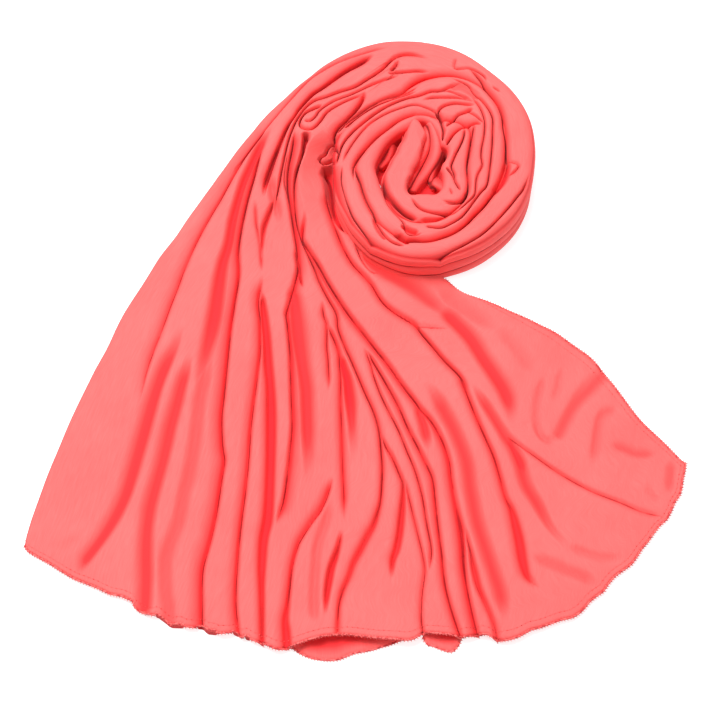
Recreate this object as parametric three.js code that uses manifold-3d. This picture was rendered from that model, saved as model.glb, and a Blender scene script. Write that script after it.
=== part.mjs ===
// A jersey hijab shawl, laid down with one short end fanned out in pleats and the rest wound into a flat coil.
// Millimetres, +Z up. The cloth lies on the plane z = 0.

import * as THREE from 'three';
import Module from 'manifold-3d';
import { mergeVertices } from 'three/addons/utils/BufferGeometryUtils.js';

// Cloth and seams
const CLOTH_WALL = 1.6;
const SEAM_GAP = 0.35;
const CLEARANCE = 0.5;
const CUTTER_MARGIN = 10;
const UNDERFOLD_WALL = 1.2;

// The coil: its middle, its height, and the layers that show in its outer wall
const COIL_CENTRE = { x: 62, y: 160 };
const COIL_HEIGHT = 48;
const WALL_LAYERS = 4;
const LAYER_GROOVE = 2.6;
const CROWN_DROP = 9;
const CROWN_INSET = 0.16;
const STATION_STEP = 10;

// The fan and the neck are worked out on a grid of stations (along) and columns (across each fold)
const FAN_STATIONS = 15;
const NECK_STATIONS = 12;
const FOLD_COLUMNS = 4;

// Folds of the spread end, left to right. Each row is one fold line, through its places at the waist, the upper
// and lower third and the hem. rise is the height of the pleat to its right, at the waist, halfway and the hem.
const FAN_FOLDS = [
  { fold: 'left edge', waist: [-139, 156], upper: [-203, 32], lower: [-246, -65], hem: [-272, -172], rise: [5, 2, 1] },
  { fold: 'first step', waist: [-121, 152], upper: [-157, 45], lower: [-181, -70], hem: [-220, -183], rise: [8, 6, 3] },
  { fold: 'red valley', waist: [-104, 150], upper: [-126, 45], lower: [-168, -72], hem: [-174, -221], rise: [5, 5, 5] },
  { fold: 'branch', waist: [-98, 149], upper: [-115, 40], lower: [-140, -78], hem: [-150, -237], rise: [6, 7, 6] },
  { fold: 'first sharp', waist: [-91, 148], upper: [-105, 40], lower: [-112, -84], hem: [-125, -240], rise: [8, 9, 8] },
  { fold: 'second sharp', waist: [-83, 147], upper: [-80, 40], lower: [-91, -88], hem: [-99, -243], rise: [6, 7, 7] },
  { fold: 'deep valley', waist: [-76, 147], upper: [-73, 38], lower: [-72, -88], hem: [-84, -249], rise: [8, 10, 8] },
  { fold: 'third sharp', waist: [-69, 147], upper: [-58, 40], lower: [-54, -86], hem: [-70, -256], rise: [8, 9, 8] },
  { fold: 'long curve', waist: [-63, 147], upper: [-44, 39], lower: [-37, -88], hem: [-52, -258], rise: [8, 10, 9] },
  { fold: 'pocket', waist: [-59, 147], upper: [-28, 40], lower: [-15, -88], hem: [-30, -247], rise: [7, 10, 9] },
  { fold: 'inner curve', waist: [-55, 147], upper: [-22, 41], lower: [20, -92], hem: [-8, -245], rise: [7, 8, 10] },
  { fold: 'split fold', waist: [-51, 146], upper: [-18, 41], lower: [36, -92], hem: [54, -242], rise: [7, 8, 8] },
  { fold: 'twin fold', waist: [-48, 146], upper: [-13, 40], lower: [52, -80], hem: [82, -245], rise: [6, 7, 7] },
  { fold: 'wide fold left', waist: [-44, 145], upper: [-5, 38], lower: [72, -72], hem: [104, -242], rise: [14, 12, 9] },
  { fold: 'wide fold right', waist: [-16, 133], upper: [43, 34], lower: [113, -80], hem: [148, -238], rise: [9, 8, 6] },
  { fold: 'wing fold', waist: [-2, 115], upper: [64, 30], lower: [132, -76], hem: [200, -207], rise: [7, 5, 3] },
  { fold: 'wing wrinkle', waist: [22, 92], upper: [98, 12], lower: [172, -92], hem: [257, -147], rise: [5, 3, 2] },
  { fold: 'wing valley', waist: [52, 80], upper: [124, 18], lower: [196, -52], hem: [271, -121], rise: [3, 2, 1] },
  { fold: 'right edge', waist: [84, 77], upper: [144, 38], lower: [214, -22], hem: [277, -101], rise: [0, 0, 0] },
];

// Folds of the gathered neck, outside to inside, from the waist round the west side to the north of the coil.
// top is the height of the fold to its right at those four places.
const NECK_FOLDS = [
  { fold: 'outer layer', waist: [-139, 156], bend: [-103, 200], shoulder: [-54, 254], north: [27, 290], top: [6, 9, 21, 38] },
  { fold: 'step', waist: [-121, 152], bend: [-92, 197], shoulder: [-49, 249], north: [29, 283], top: [11, 15, 30, 43] },
  { fold: 'red valley', waist: [-104, 150], bend: [-82, 194], shoulder: [-43, 243], north: [31, 276], top: [15, 21, 35, 46] },
  { fold: 'deep valley', waist: [-78, 147], bend: [-67, 190], shoulder: [-34, 236], north: [33, 268], top: [17, 27, 39, 47] },
  { fold: 'crease', waist: [-62, 147], bend: [-57, 187], shoulder: [-26, 229], north: [36, 258], top: [18, 31, 42, 48] },
  { fold: 'knot crease', waist: [-44, 145], bend: [-47, 184], shoulder: [-17, 222], north: [39, 247], top: [18, 31, 43, 48] },
  { fold: 'coil side', waist: [-16, 133], bend: [-25, 181], shoulder: [-1, 211], north: [42, 236], top: [18, 31, 43, 48] },
];

// The turns of the coil, wound clockwise and inwards. Each row is a place round the turn, in degrees from +X.
const OUTER_TURN = [
  { angle: 105, inner: 78, outer: 129 },
  { angle: 75, inner: 96, outer: 123 },
  { angle: 45, inner: 90, outer: 111 },
  { angle: 15, inner: 72, outer: 98 },
  { angle: -15, inner: 64, outer: 92 },
  { angle: -45, inner: 62, outer: 88 },
  { angle: -75, inner: 69, outer: 88 },
  { angle: -105, inner: 74, outer: 91 },
  { angle: -135, inner: 67, outer: 87 },
  { angle: -165, inner: 60, outer: 81 },
  { angle: -180, inner: 62, outer: 80 },
];
const MIDDLE_TURN = [
  { angle: 180, inner: 62, outer: 80 },
  { angle: 150, inner: 54, outer: 81 },
  { angle: 105, inner: 53, outer: 77 },
  { angle: 75, inner: 47, outer: 94 },
  { angle: 45, inner: 53, outer: 88 },
  { angle: 15, inner: 37, outer: 71 },
  { angle: -15, inner: 36, outer: 63 },
  { angle: -45, inner: 45, outer: 61 },
  { angle: -75, inner: 51, outer: 68 },
  { angle: -105, inner: 55, outer: 73 },
  { angle: -135, inner: 48, outer: 66 },
  { angle: -165, inner: 44, outer: 59 },
  { angle: -180, inner: 46, outer: 61 },
];
const INNER_TURN = [
  { angle: 180, inner: 46, outer: 61 },
  { angle: 150, inner: 42, outer: 53 },
  { angle: 105, inner: 40, outer: 52 },
  { angle: 75, inner: 30, outer: 46 },
  { angle: 45, inner: 27, outer: 52 },
  { angle: 15, inner: 15, outer: 36 },
  { angle: -15, inner: 13, outer: 35 },
  { angle: -45, inner: 20, outer: 44 },
  { angle: -75, inner: 26, outer: 50 },
  { angle: -105, inner: 31, outer: 54 },
  { angle: -130, inner: 28, outer: 48 },
  { angle: -150, inner: 19, outer: 41 },
  { angle: -165, inner: 13, outer: 38 },
];

// The heart: the wound layers that lie deep in the middle, lower than the turns round them
const HEART_HEIGHT = 22;
const HEART_DISH = 5;

// The folded tip that stands on the heart, from its north end to where the inner turn runs into it
const CENTRE_FLAP = [
  { x: 57, y: 191, width: 9 },
  { x: 53, y: 182, width: 18 },
  { x: 47, y: 173, width: 22 },
  { x: 41, y: 164, width: 22 },
];
const FLAP_HEIGHT = 46;
const FLAP_STATIONS = 8;

// Lower layers of the hem that show in front of it: the folds that each lies between, counted from the left,
// and how far it reaches past them
const HEM_UNDERFOLDS = [
  { name: 'hem_underfold_middle', from: 8, to: 10.5, reach: 18 },
  { name: 'hem_underfold_right', from: 11, to: 12, reach: 13 },
];
const UNDERFOLD_STEPS = 10;
const UNDERFOLD_END = 0.6;

// A smooth line through points that are given by name, at t from 0 to 1
function smoothLine(points) {
  const curve = new THREE.CatmullRomCurve3(points.map(([x, y, z = 0]) => new THREE.Vector3(x, y, z)));
  return (t) => curve.getPoint(t);
}

// A smooth value along a short row of heights
function smoothValue(values) {
  const line = smoothLine(values.map((value, i) => [i, value]));
  return (t) => line(t).y;
}

// A closed body from a top and a bottom grid of points with the same rows and columns
function blanket(top, bottom) {
  const rows = top.length;
  const columns = top[0].length;
  const positions = [...top.flat(), ...bottom.flat()].flatMap((p) => [p.x, p.y, p.z]);
  const at = (layer, row, column) => layer * rows * columns + row * columns + column;
  const faces = [];
  const quad = (a, b, c, d) => faces.push(a, b, c, a, c, d);
  for (let row = 0; row < rows - 1; row += 1) {
    for (let column = 0; column < columns - 1; column += 1) {
      quad(at(0, row, column), at(0, row + 1, column), at(0, row + 1, column + 1), at(0, row, column + 1));
      faces.push(at(1, row, column), at(1, row + 1, column + 1), at(1, row + 1, column));
      faces.push(at(1, row, column), at(1, row, column + 1), at(1, row + 1, column + 1));
    }
    quad(at(0, row, 0), at(1, row, 0), at(1, row + 1, 0), at(0, row + 1, 0));
    const last = columns - 1;
    quad(at(0, row, last), at(0, row + 1, last), at(1, row + 1, last), at(1, row, last));
  }
  for (let column = 0; column < columns - 1; column += 1) {
    quad(at(0, 0, column), at(0, 0, column + 1), at(1, 0, column + 1), at(1, 0, column));
    const last = rows - 1;
    quad(at(0, last, column), at(1, last, column), at(1, last, column + 1), at(0, last, column + 1));
  }
  return closedGeometry(positions, faces);
}

// A closed body swept through rings with the same number of points, capped at both ends
function sweep(rings, outlines) {
  const count = rings[0].length;
  const positions = rings.flat().flatMap((p) => [p.x, p.y, p.z]);
  const faces = [];
  for (let ring = 0; ring < rings.length - 1; ring += 1) {
    for (let i = 0; i < count; i += 1) {
      const next = (i + 1) % count;
      const a = ring * count + i;
      const b = ring * count + next;
      faces.push(a, b, b + count, a, b + count, a + count);
    }
  }
  const cap = (ring, flip) => {
    for (const [a, b, c] of THREE.ShapeUtils.triangulateShape(outlines[ring], [])) {
      const offset = ring * count;
      faces.push(offset + a, offset + (flip ? c : b), offset + (flip ? b : c));
    }
  };
  cap(0, true);
  cap(rings.length - 1, false);
  return closedGeometry(positions, faces);
}

// Six times the signed volume of the faces, to tell which way they point
function signedVolume(positions, faces) {
  const point = (i) => new THREE.Vector3().fromArray(positions, faces[i] * 3);
  let total = 0;
  for (let i = 0; i < faces.length; i += 3) {
    total += point(i).dot(point(i + 1).cross(point(i + 2)));
  }
  return total;
}

function closedGeometry(positions, faces) {
  const turned = signedVolume(positions, faces) < 0;
  const geometry = new THREE.BufferGeometry();
  geometry.setAttribute('position', new THREE.Float32BufferAttribute(positions, 3));
  const order = turned ? faces.map((_, i) => faces[i - (i % 3) + [0, 2, 1][i % 3]]) : faces;
  geometry.setIndex(order);
  return geometry;
}

// How a pleat's height goes across it, from valley (0) to valley (1): steep at its left, gentle at its right
function pleatProfile(across) {
  return Math.sin(Math.PI * across ** 0.8) ** 0.7;
}

// The columns of the fan: for each, the two folds that it lies between and how far across
function columnsBetween(folds) {
  const columns = [];
  for (let i = 0; i < folds.length - 1; i += 1) {
    for (let step = 0; step < FOLD_COLUMNS; step += 1) {
      columns.push({ left: i, across: step / FOLD_COLUMNS });
    }
  }
  columns.push({ left: folds.length - 2, across: 1 });
  return columns;
}

// The spread end: one layer of cloth in pleats, its valleys flat on the ground
function spreadEnd() {
  const lines = FAN_FOLDS.map((f) => smoothLine([f.waist, f.upper, f.lower, f.hem]));
  const rises = FAN_FOLDS.map((f) => smoothValue(f.rise));
  const columns = columnsBetween(FAN_FOLDS);
  const top = [];
  for (let station = 0; station < FAN_STATIONS; station += 1) {
    const t = station / (FAN_STATIONS - 1);
    top.push(columns.map(({ left, across }) => {
      const point = lines[left](t).lerp(lines[left + 1](t), across);
      point.z = CLOTH_WALL + Math.max(0, rises[left](t)) * pleatProfile(across);
      return point;
    }));
  }
  return blanket(top, underside(top));
}

// The inner face of the wall, straight below its outer face, deeper where the wall is steep
function underside(top) {
  return top.map((row) => row.map((point, column) => {
    const before = row[Math.max(0, column - 1)];
    const after = row[Math.min(row.length - 1, column + 1)];
    const run = Math.hypot(after.x - before.x, after.y - before.y);
    const slope = Math.abs(after.z - before.z) / run;
    const inner = point.clone();
    inner.z = Math.max(0, point.z - CLOTH_WALL * Math.hypot(1, slope));
    return inner;
  }));
}

// The neck: the gathered layers share one rounded body with a folded top and a flat sole. As a cutter it is
// higher and deeper, and reaches back to the seam with the spread end.
function gatheredNeck({ cutter = false } = {}) {
  const lines = NECK_FOLDS.map((f) => smoothLine([f.waist, f.bend, f.shoulder, f.north]));
  const tops = NECK_FOLDS.map((f) => smoothValue(f.top));
  const columns = columnsBetween(NECK_FOLDS);
  const top = [];
  const sole = [];
  for (let station = 0; station < NECK_STATIONS; station += 1) {
    const t = station / (NECK_STATIONS - 1);
    const row = columns.map(({ left, across }) => {
      const point = lines[left](t).lerp(lines[left + 1](t), across);
      const crest = THREE.MathUtils.lerp(tops[left](t), tops[left + 1](t), across);
      const edge = left === 0 ? Math.sqrt(across) : 1;
      const groove = crest * (0.1 + 0.9 * edge);
      point.z = groove * (0.78 + 0.22 * pleatProfile(across)) + (cutter ? CUTTER_MARGIN : 0);
      return point;
    });
    top.push(row);
    sole.push(row.map((point) => new THREE.Vector3(point.x, point.y, cutter ? -CUTTER_MARGIN : 0)));
  }
  const along = top[1][0].clone().sub(top[0][0]).setZ(0).setLength(cutter ? 0 : SEAM_GAP);
  for (const point of [...top[0], ...sole[0]]) {
    point.add(along);
  }
  return blanket(top, sole);
}

// One section of a turn: flat sole, layered outer wall, folded crown, plain inner wall; x is the radius
function turnSection(inner, outer, layered) {
  const crownFoot = COIL_HEIGHT - CROWN_DROP;
  const width = outer - inner;
  const outline = [new THREE.Vector2(inner, 0)];
  for (let layer = 0; layer < WALL_LAYERS; layer += 1) {
    const low = (crownFoot * layer) / WALL_LAYERS;
    const high = (crownFoot * (layer + 1)) / WALL_LAYERS;
    const groove = layered && layer > 0 ? LAYER_GROOVE : 0;
    outline.push(new THREE.Vector2(outer - groove, low));
    outline.push(new THREE.Vector2(outer, (low + high) / 2));
  }
  outline.push(new THREE.Vector2(outer - width * CROWN_INSET * 0.3, crownFoot));
  outline.push(new THREE.Vector2(outer - width * CROWN_INSET, COIL_HEIGHT - 2));
  outline.push(new THREE.Vector2(outer - width * 0.34, COIL_HEIGHT));
  outline.push(new THREE.Vector2(outer - width * 0.48, COIL_HEIGHT - 5));
  outline.push(new THREE.Vector2(outer - width * 0.62, COIL_HEIGHT));
  outline.push(new THREE.Vector2(inner + width * CROWN_INSET, COIL_HEIGHT - 2));
  outline.push(new THREE.Vector2(inner, crownFoot));
  return outline;
}

// A radius of a turn at an angle, from the two rows on either side
function radiusAt(rows, angle, column) {
  const line = smoothLine(rows.map((row) => [row.angle, row[column]]));
  let low = 0;
  let high = 1;
  for (let halving = 0; halving < 30; halving += 1) {
    const middle = (low + high) / 2;
    if (line(middle).x > angle) {
      low = middle;
    } else {
      high = middle;
    }
  }
  return line(low).y;
}

// A turn of the coil. grown widens it on every side, to cut its place out of what it lies against.
function coilTurn(rows, { layered = false, grown = 0 } = {}) {
  const first = rows[0].angle;
  const last = rows[rows.length - 1].angle;
  const stations = Math.round((first - last) / STATION_STEP);
  const rings = [];
  const outlines = [];
  for (let station = 0; station <= stations; station += 1) {
    const angle = first + ((last - first) * station) / stations;
    const inner = radiusAt(rows, angle, 'inner') + CLEARANCE / 2 - grown;
    const outer = radiusAt(rows, angle, 'outer') - CLEARANCE / 2 + grown;
    const outline = turnSection(inner, outer, layered && grown === 0);
    const end = station === 0 ? -1 : Number(station === stations);
    const shift = end * (SEAM_GAP / 2 - grown);
    const radians = THREE.MathUtils.degToRad(angle);
    outlines.push(outline);
    rings.push(outline.map(({ x: radius, y: height }) => new THREE.Vector3(
      COIL_CENTRE.x + radius * Math.cos(radians) - shift * Math.sin(radians),
      COIL_CENTRE.y + radius * Math.sin(radians) + shift * Math.cos(radians),
      grown > 0 && height === 0 ? -1 : height + grown,
    )));
  }
  return sweep(rings, outlines);
}

// The heart of the coil: it fills the inner turn, and its top is dished towards the middle
function coilHeart() {
  const last = INNER_TURN[INNER_TURN.length - 1].angle;
  const rim = [];
  for (let angle = last; angle <= INNER_TURN[0].angle; angle += STATION_STEP) {
    const radius = radiusAt(INNER_TURN, angle, 'inner') - CLEARANCE;
    const radians = THREE.MathUtils.degToRad(angle);
    rim.push(new THREE.Vector2(radius * Math.cos(radians), radius * Math.sin(radians)));
  }
  const levels = [
    { size: 1, height: 0 },
    { size: 1, height: HEART_HEIGHT - 4 },
    { size: 0.9, height: HEART_HEIGHT },
    { size: 0.5, height: HEART_HEIGHT - HEART_DISH },
  ];
  const rings = levels.map(({ size, height }) => rim.map(({ x, y }) => new THREE.Vector3(
    COIL_CENTRE.x + x * size,
    COIL_CENTRE.y + y * size,
    height,
  )));
  return sweep(rings, levels.map(({ size }) => rim.map((point) => point.clone().multiplyScalar(size))));
}

// The tip that stands folded on the heart
function centreFlap() {
  const line = smoothLine(CENTRE_FLAP.map((row) => [row.x, row.y]));
  const width = smoothValue(CENTRE_FLAP.map((row) => row.width));
  const foot = HEART_HEIGHT + SEAM_GAP;
  const rise = FLAP_HEIGHT - foot;
  const rings = [];
  const outlines = [];
  for (let station = 0; station <= FLAP_STATIONS; station += 1) {
    const t = station / FLAP_STATIONS;
    const middle = line(t);
    const ahead = line(Math.min(1, t + 0.01)).sub(line(Math.max(0, t - 0.01))).normalize();
    const half = width(t) / 2;
    const end = Math.sin(Math.PI * (0.15 + 0.35 * t)) ** 0.5;
    const outline = [
      new THREE.Vector2(-half, foot),
      new THREE.Vector2(half, foot),
      new THREE.Vector2(half * 0.95, foot + rise * 0.5 * end),
      new THREE.Vector2(half * 0.6, foot + rise * 0.9 * end),
      new THREE.Vector2(0, foot + rise * end),
      new THREE.Vector2(-half * 0.6, foot + rise * 0.92 * end),
      new THREE.Vector2(-half, foot + rise * 0.55 * end),
    ];
    outlines.push(outline);
    rings.push(outline.map(({ x: side, y: height }) => new THREE.Vector3(
      middle.x + side * ahead.y,
      middle.y - side * ahead.x,
      height,
    )));
  }
  return sweep(rings, outlines);
}

// A place on the hem, by its number of folds from the left
function hemPlace(folds) {
  const left = Math.min(Math.floor(folds), FAN_FOLDS.length - 2);
  const [a, b] = [FAN_FOLDS[left].hem, FAN_FOLDS[left + 1].hem];
  const across = folds - left;
  return { x: THREE.MathUtils.lerp(a[0], b[0], across), y: THREE.MathUtils.lerp(a[1], b[1], across) };
}

// A lower layer of the hem: a thin scalloped strip that lies on the ground just past the upper one
function hemUnderfold({ from, to, reach }) {
  const near = [];
  const far = [];
  for (let step = 0; step <= UNDERFOLD_STEPS; step += 1) {
    const t = step / UNDERFOLD_STEPS;
    const { x, y } = hemPlace(THREE.MathUtils.lerp(from, to, t));
    const scallop = UNDERFOLD_END + reach * Math.sin(Math.PI * t) ** 0.8;
    near.push(new THREE.Vector3(x, y - SEAM_GAP, UNDERFOLD_WALL));
    far.push(new THREE.Vector3(x, y - SEAM_GAP - scallop, UNDERFOLD_WALL));
  }
  const top = [near, far];
  return blanket(top, top.map((row) => row.map((p) => new THREE.Vector3(p.x, p.y, 0))));
}

// Cutting: the fan and the neck give way to the coil that lies against them
const wasm = await Module();
wasm.setup();

function toSolid(geometry) {
  const merged = mergeVertices(geometry);
  return new wasm.Manifold(new wasm.Mesh({
    numProp: 3,
    vertProperties: new Float32Array(merged.attributes.position.array),
    triVerts: new Uint32Array(merged.index.array),
  }));
}

function cutAway(geometry, cutters) {
  let solid = toSolid(geometry);
  for (const cutter of cutters) {
    solid = solid.subtract(toSolid(cutter));
  }
  const { vertProperties, triVerts } = solid.getMesh();
  const result = new THREE.BufferGeometry();
  result.setAttribute('position', new THREE.BufferAttribute(new Float32Array(vertProperties), 3));
  result.setIndex(new THREE.BufferAttribute(new Uint32Array(triVerts), 1));
  return result;
}

const CLOTH = { color: 0xf97068, roughness: 0.86, metalness: 0 };

function clothPiece(name, geometry, shade = 1) {
  const material = new THREE.MeshStandardMaterial(CLOTH);
  material.name = 'coral_jersey';
  material.color.multiplyScalar(shade);
  const mesh = new THREE.Mesh(geometry, material);
  mesh.name = name;
  return mesh;
}

const turnsGrown = [OUTER_TURN, MIDDLE_TURN].map((rows) => coilTurn(rows, { grown: CLEARANCE }));

const shawl = new THREE.Group();
shawl.add(
  clothPiece('spread_end', cutAway(spreadEnd(), [...turnsGrown, gatheredNeck({ cutter: true })])),
  clothPiece('gathered_neck', cutAway(gatheredNeck(), turnsGrown), 0.98),
  clothPiece('outer_turn', coilTurn(OUTER_TURN, { layered: true }), 0.97),
  clothPiece('middle_turn', coilTurn(MIDDLE_TURN), 0.95),
  clothPiece('inner_turn', coilTurn(INNER_TURN), 0.93),
  clothPiece('coil_heart', coilHeart(), 0.86),
  clothPiece('centre_flap', centreFlap(), 0.91),
  ...HEM_UNDERFOLDS.map((fold) => clothPiece(fold.name, hemUnderfold(fold), 0.9)),
);

// The origin is on the ground under the middle of the shawl's box
const box = new THREE.Box3().setFromObject(shawl);
shawl.position.set(-(box.min.x + box.max.x) / 2, -(box.min.y + box.max.y) / 2, -box.min.z);

export default shawl;
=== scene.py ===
# %% [markdown]
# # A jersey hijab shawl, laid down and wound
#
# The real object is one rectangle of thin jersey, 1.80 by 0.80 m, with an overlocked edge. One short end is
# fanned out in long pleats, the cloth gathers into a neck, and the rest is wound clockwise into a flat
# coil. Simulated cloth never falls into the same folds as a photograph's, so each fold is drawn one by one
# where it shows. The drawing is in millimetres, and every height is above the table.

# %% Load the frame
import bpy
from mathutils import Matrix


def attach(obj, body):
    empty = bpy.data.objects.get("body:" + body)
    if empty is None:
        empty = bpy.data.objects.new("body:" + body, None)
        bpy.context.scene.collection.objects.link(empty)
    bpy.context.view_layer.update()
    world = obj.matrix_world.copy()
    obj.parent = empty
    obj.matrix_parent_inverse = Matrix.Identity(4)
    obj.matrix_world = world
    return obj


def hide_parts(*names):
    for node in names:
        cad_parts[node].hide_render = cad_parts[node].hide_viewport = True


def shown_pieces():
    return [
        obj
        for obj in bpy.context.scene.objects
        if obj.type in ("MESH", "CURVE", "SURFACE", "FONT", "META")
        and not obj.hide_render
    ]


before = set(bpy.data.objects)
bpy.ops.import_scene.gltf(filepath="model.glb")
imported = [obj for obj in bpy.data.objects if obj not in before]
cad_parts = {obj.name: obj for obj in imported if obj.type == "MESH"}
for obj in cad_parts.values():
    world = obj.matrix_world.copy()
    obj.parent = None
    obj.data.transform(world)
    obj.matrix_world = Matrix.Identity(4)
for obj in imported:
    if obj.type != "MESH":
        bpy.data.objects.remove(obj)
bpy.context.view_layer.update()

# %% [markdown]
# ## Tools
#
# numpy keeps the cloth as grids of places, which is quick enough to move a fold and look again. Blender
# turns the grids into meshes and gives them their material and light.

# %% Tools
import math
from collections import namedtuple

import bmesh
import bpy
import numpy as np
from mathutils import Vector

# %% [markdown]
# ## Reading a place from the camera
#
# Seen from 66 degrees, tall cloth shows further back than it lies. So folds are read where they show, as if
# drawn on a level plane, and `on_sight` slides such a place along its line of sight to the height the cloth
# really has. The other helpers draw smooth lines: `smooth` through a few knots, and `evenly` at an even
# step.

# %% Camera facts and the line of sight
MM = 0.001
DRAWING_SHIFT = (-2.5, -12.0536)
CAMERA_SOUTH = 691.8
CAMERA_HEIGHT = 1553.8
FAN_PLANE = 8
NECK_PLANE = 35
COIL_PLANE = 50
COIL_CENTRE = (62, 160)


def on_sight(seen, plane, height):
    """The place at `height` that shows at `seen`, a place on the level plane at height `plane`."""
    share = (CAMERA_HEIGHT - height) / (CAMERA_HEIGHT - plane)
    return np.stack([seen[..., 0] * share, (seen[..., 1] + CAMERA_SOUTH) * share - CAMERA_SOUTH], -1)


def rows_of(places):
    """Places as rows of three numbers, with 0 for a third number that isn't given."""
    return np.array([tuple(p) + (0,) * (3 - len(p)) for p in places], float)


def polar(rows):
    """Places on the coil's plane from rows of angle in degrees, radius and one number that is kept."""
    angle = np.radians(rows[:, 0])
    x = COIL_CENTRE[0] + rows[:, 1] * np.cos(angle)
    y = COIL_CENTRE[1] + rows[:, 1] * np.sin(angle)
    return np.stack([x, y, rows[:, 2]], -1)


def smooth(knots, at):
    """A smooth curve through rows of knots, at places counted from 0 to the number of rows less one."""
    knots = np.asarray(knots, float)
    at = np.clip(np.asarray(at, float), 0, len(knots) - 1)
    i = np.minimum(at.astype(int), len(knots) - 2)
    t = (at - i).reshape(at.shape + (1,) * (knots.ndim - 1))
    p1, p2 = knots[i], knots[i + 1]
    p0 = np.where((i > 0).reshape(t.shape), knots[np.maximum(i - 1, 0)], 2 * p1 - p2)
    inner = (i < len(knots) - 2).reshape(t.shape)
    p3 = np.where(inner, knots[np.minimum(i + 2, len(knots) - 1)], 2 * p2 - p1)
    bend = 2 * p0 - 5 * p1 + 4 * p2 - p3
    return p1 + 0.5 * t * (p2 - p0 + t * (bend + t * (3 * (p1 - p2) + p3 - p0)))


def run_along(line):
    """How far along a line each of its places is, in plan."""
    return np.concatenate([[0], np.cumsum(np.hypot(*np.diff(line[:, :2], axis=0).T))])


def evenly(line, step):
    """A smooth line through the given places, at an even step."""
    fine = smooth(line, np.linspace(0, len(line) - 1, 12 * len(line)))
    run = run_along(fine)
    at = np.linspace(0, run[-1], max(2, round(run[-1] / step) + 1))
    return np.stack([np.interp(at, run, fine[:, k]) for k in range(fine.shape[1])], -1)


# %% [markdown]
# ## The creases of the fan
#
# Thin jersey that is gathered at one end opens into long rolls, with sharp creases between them that fork,
# fade and widen into dark pockets. Each row is one crease: its depth, how far its slope reaches to the left
# and right of someone who walks along it, how long it takes to fade in and out, whether its bottom is soft,
# and its places. A third number in a place is half the width of a pocket's bottom. A short reach is the
# rolled edge of a fold that lies on its neighbour.

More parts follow.
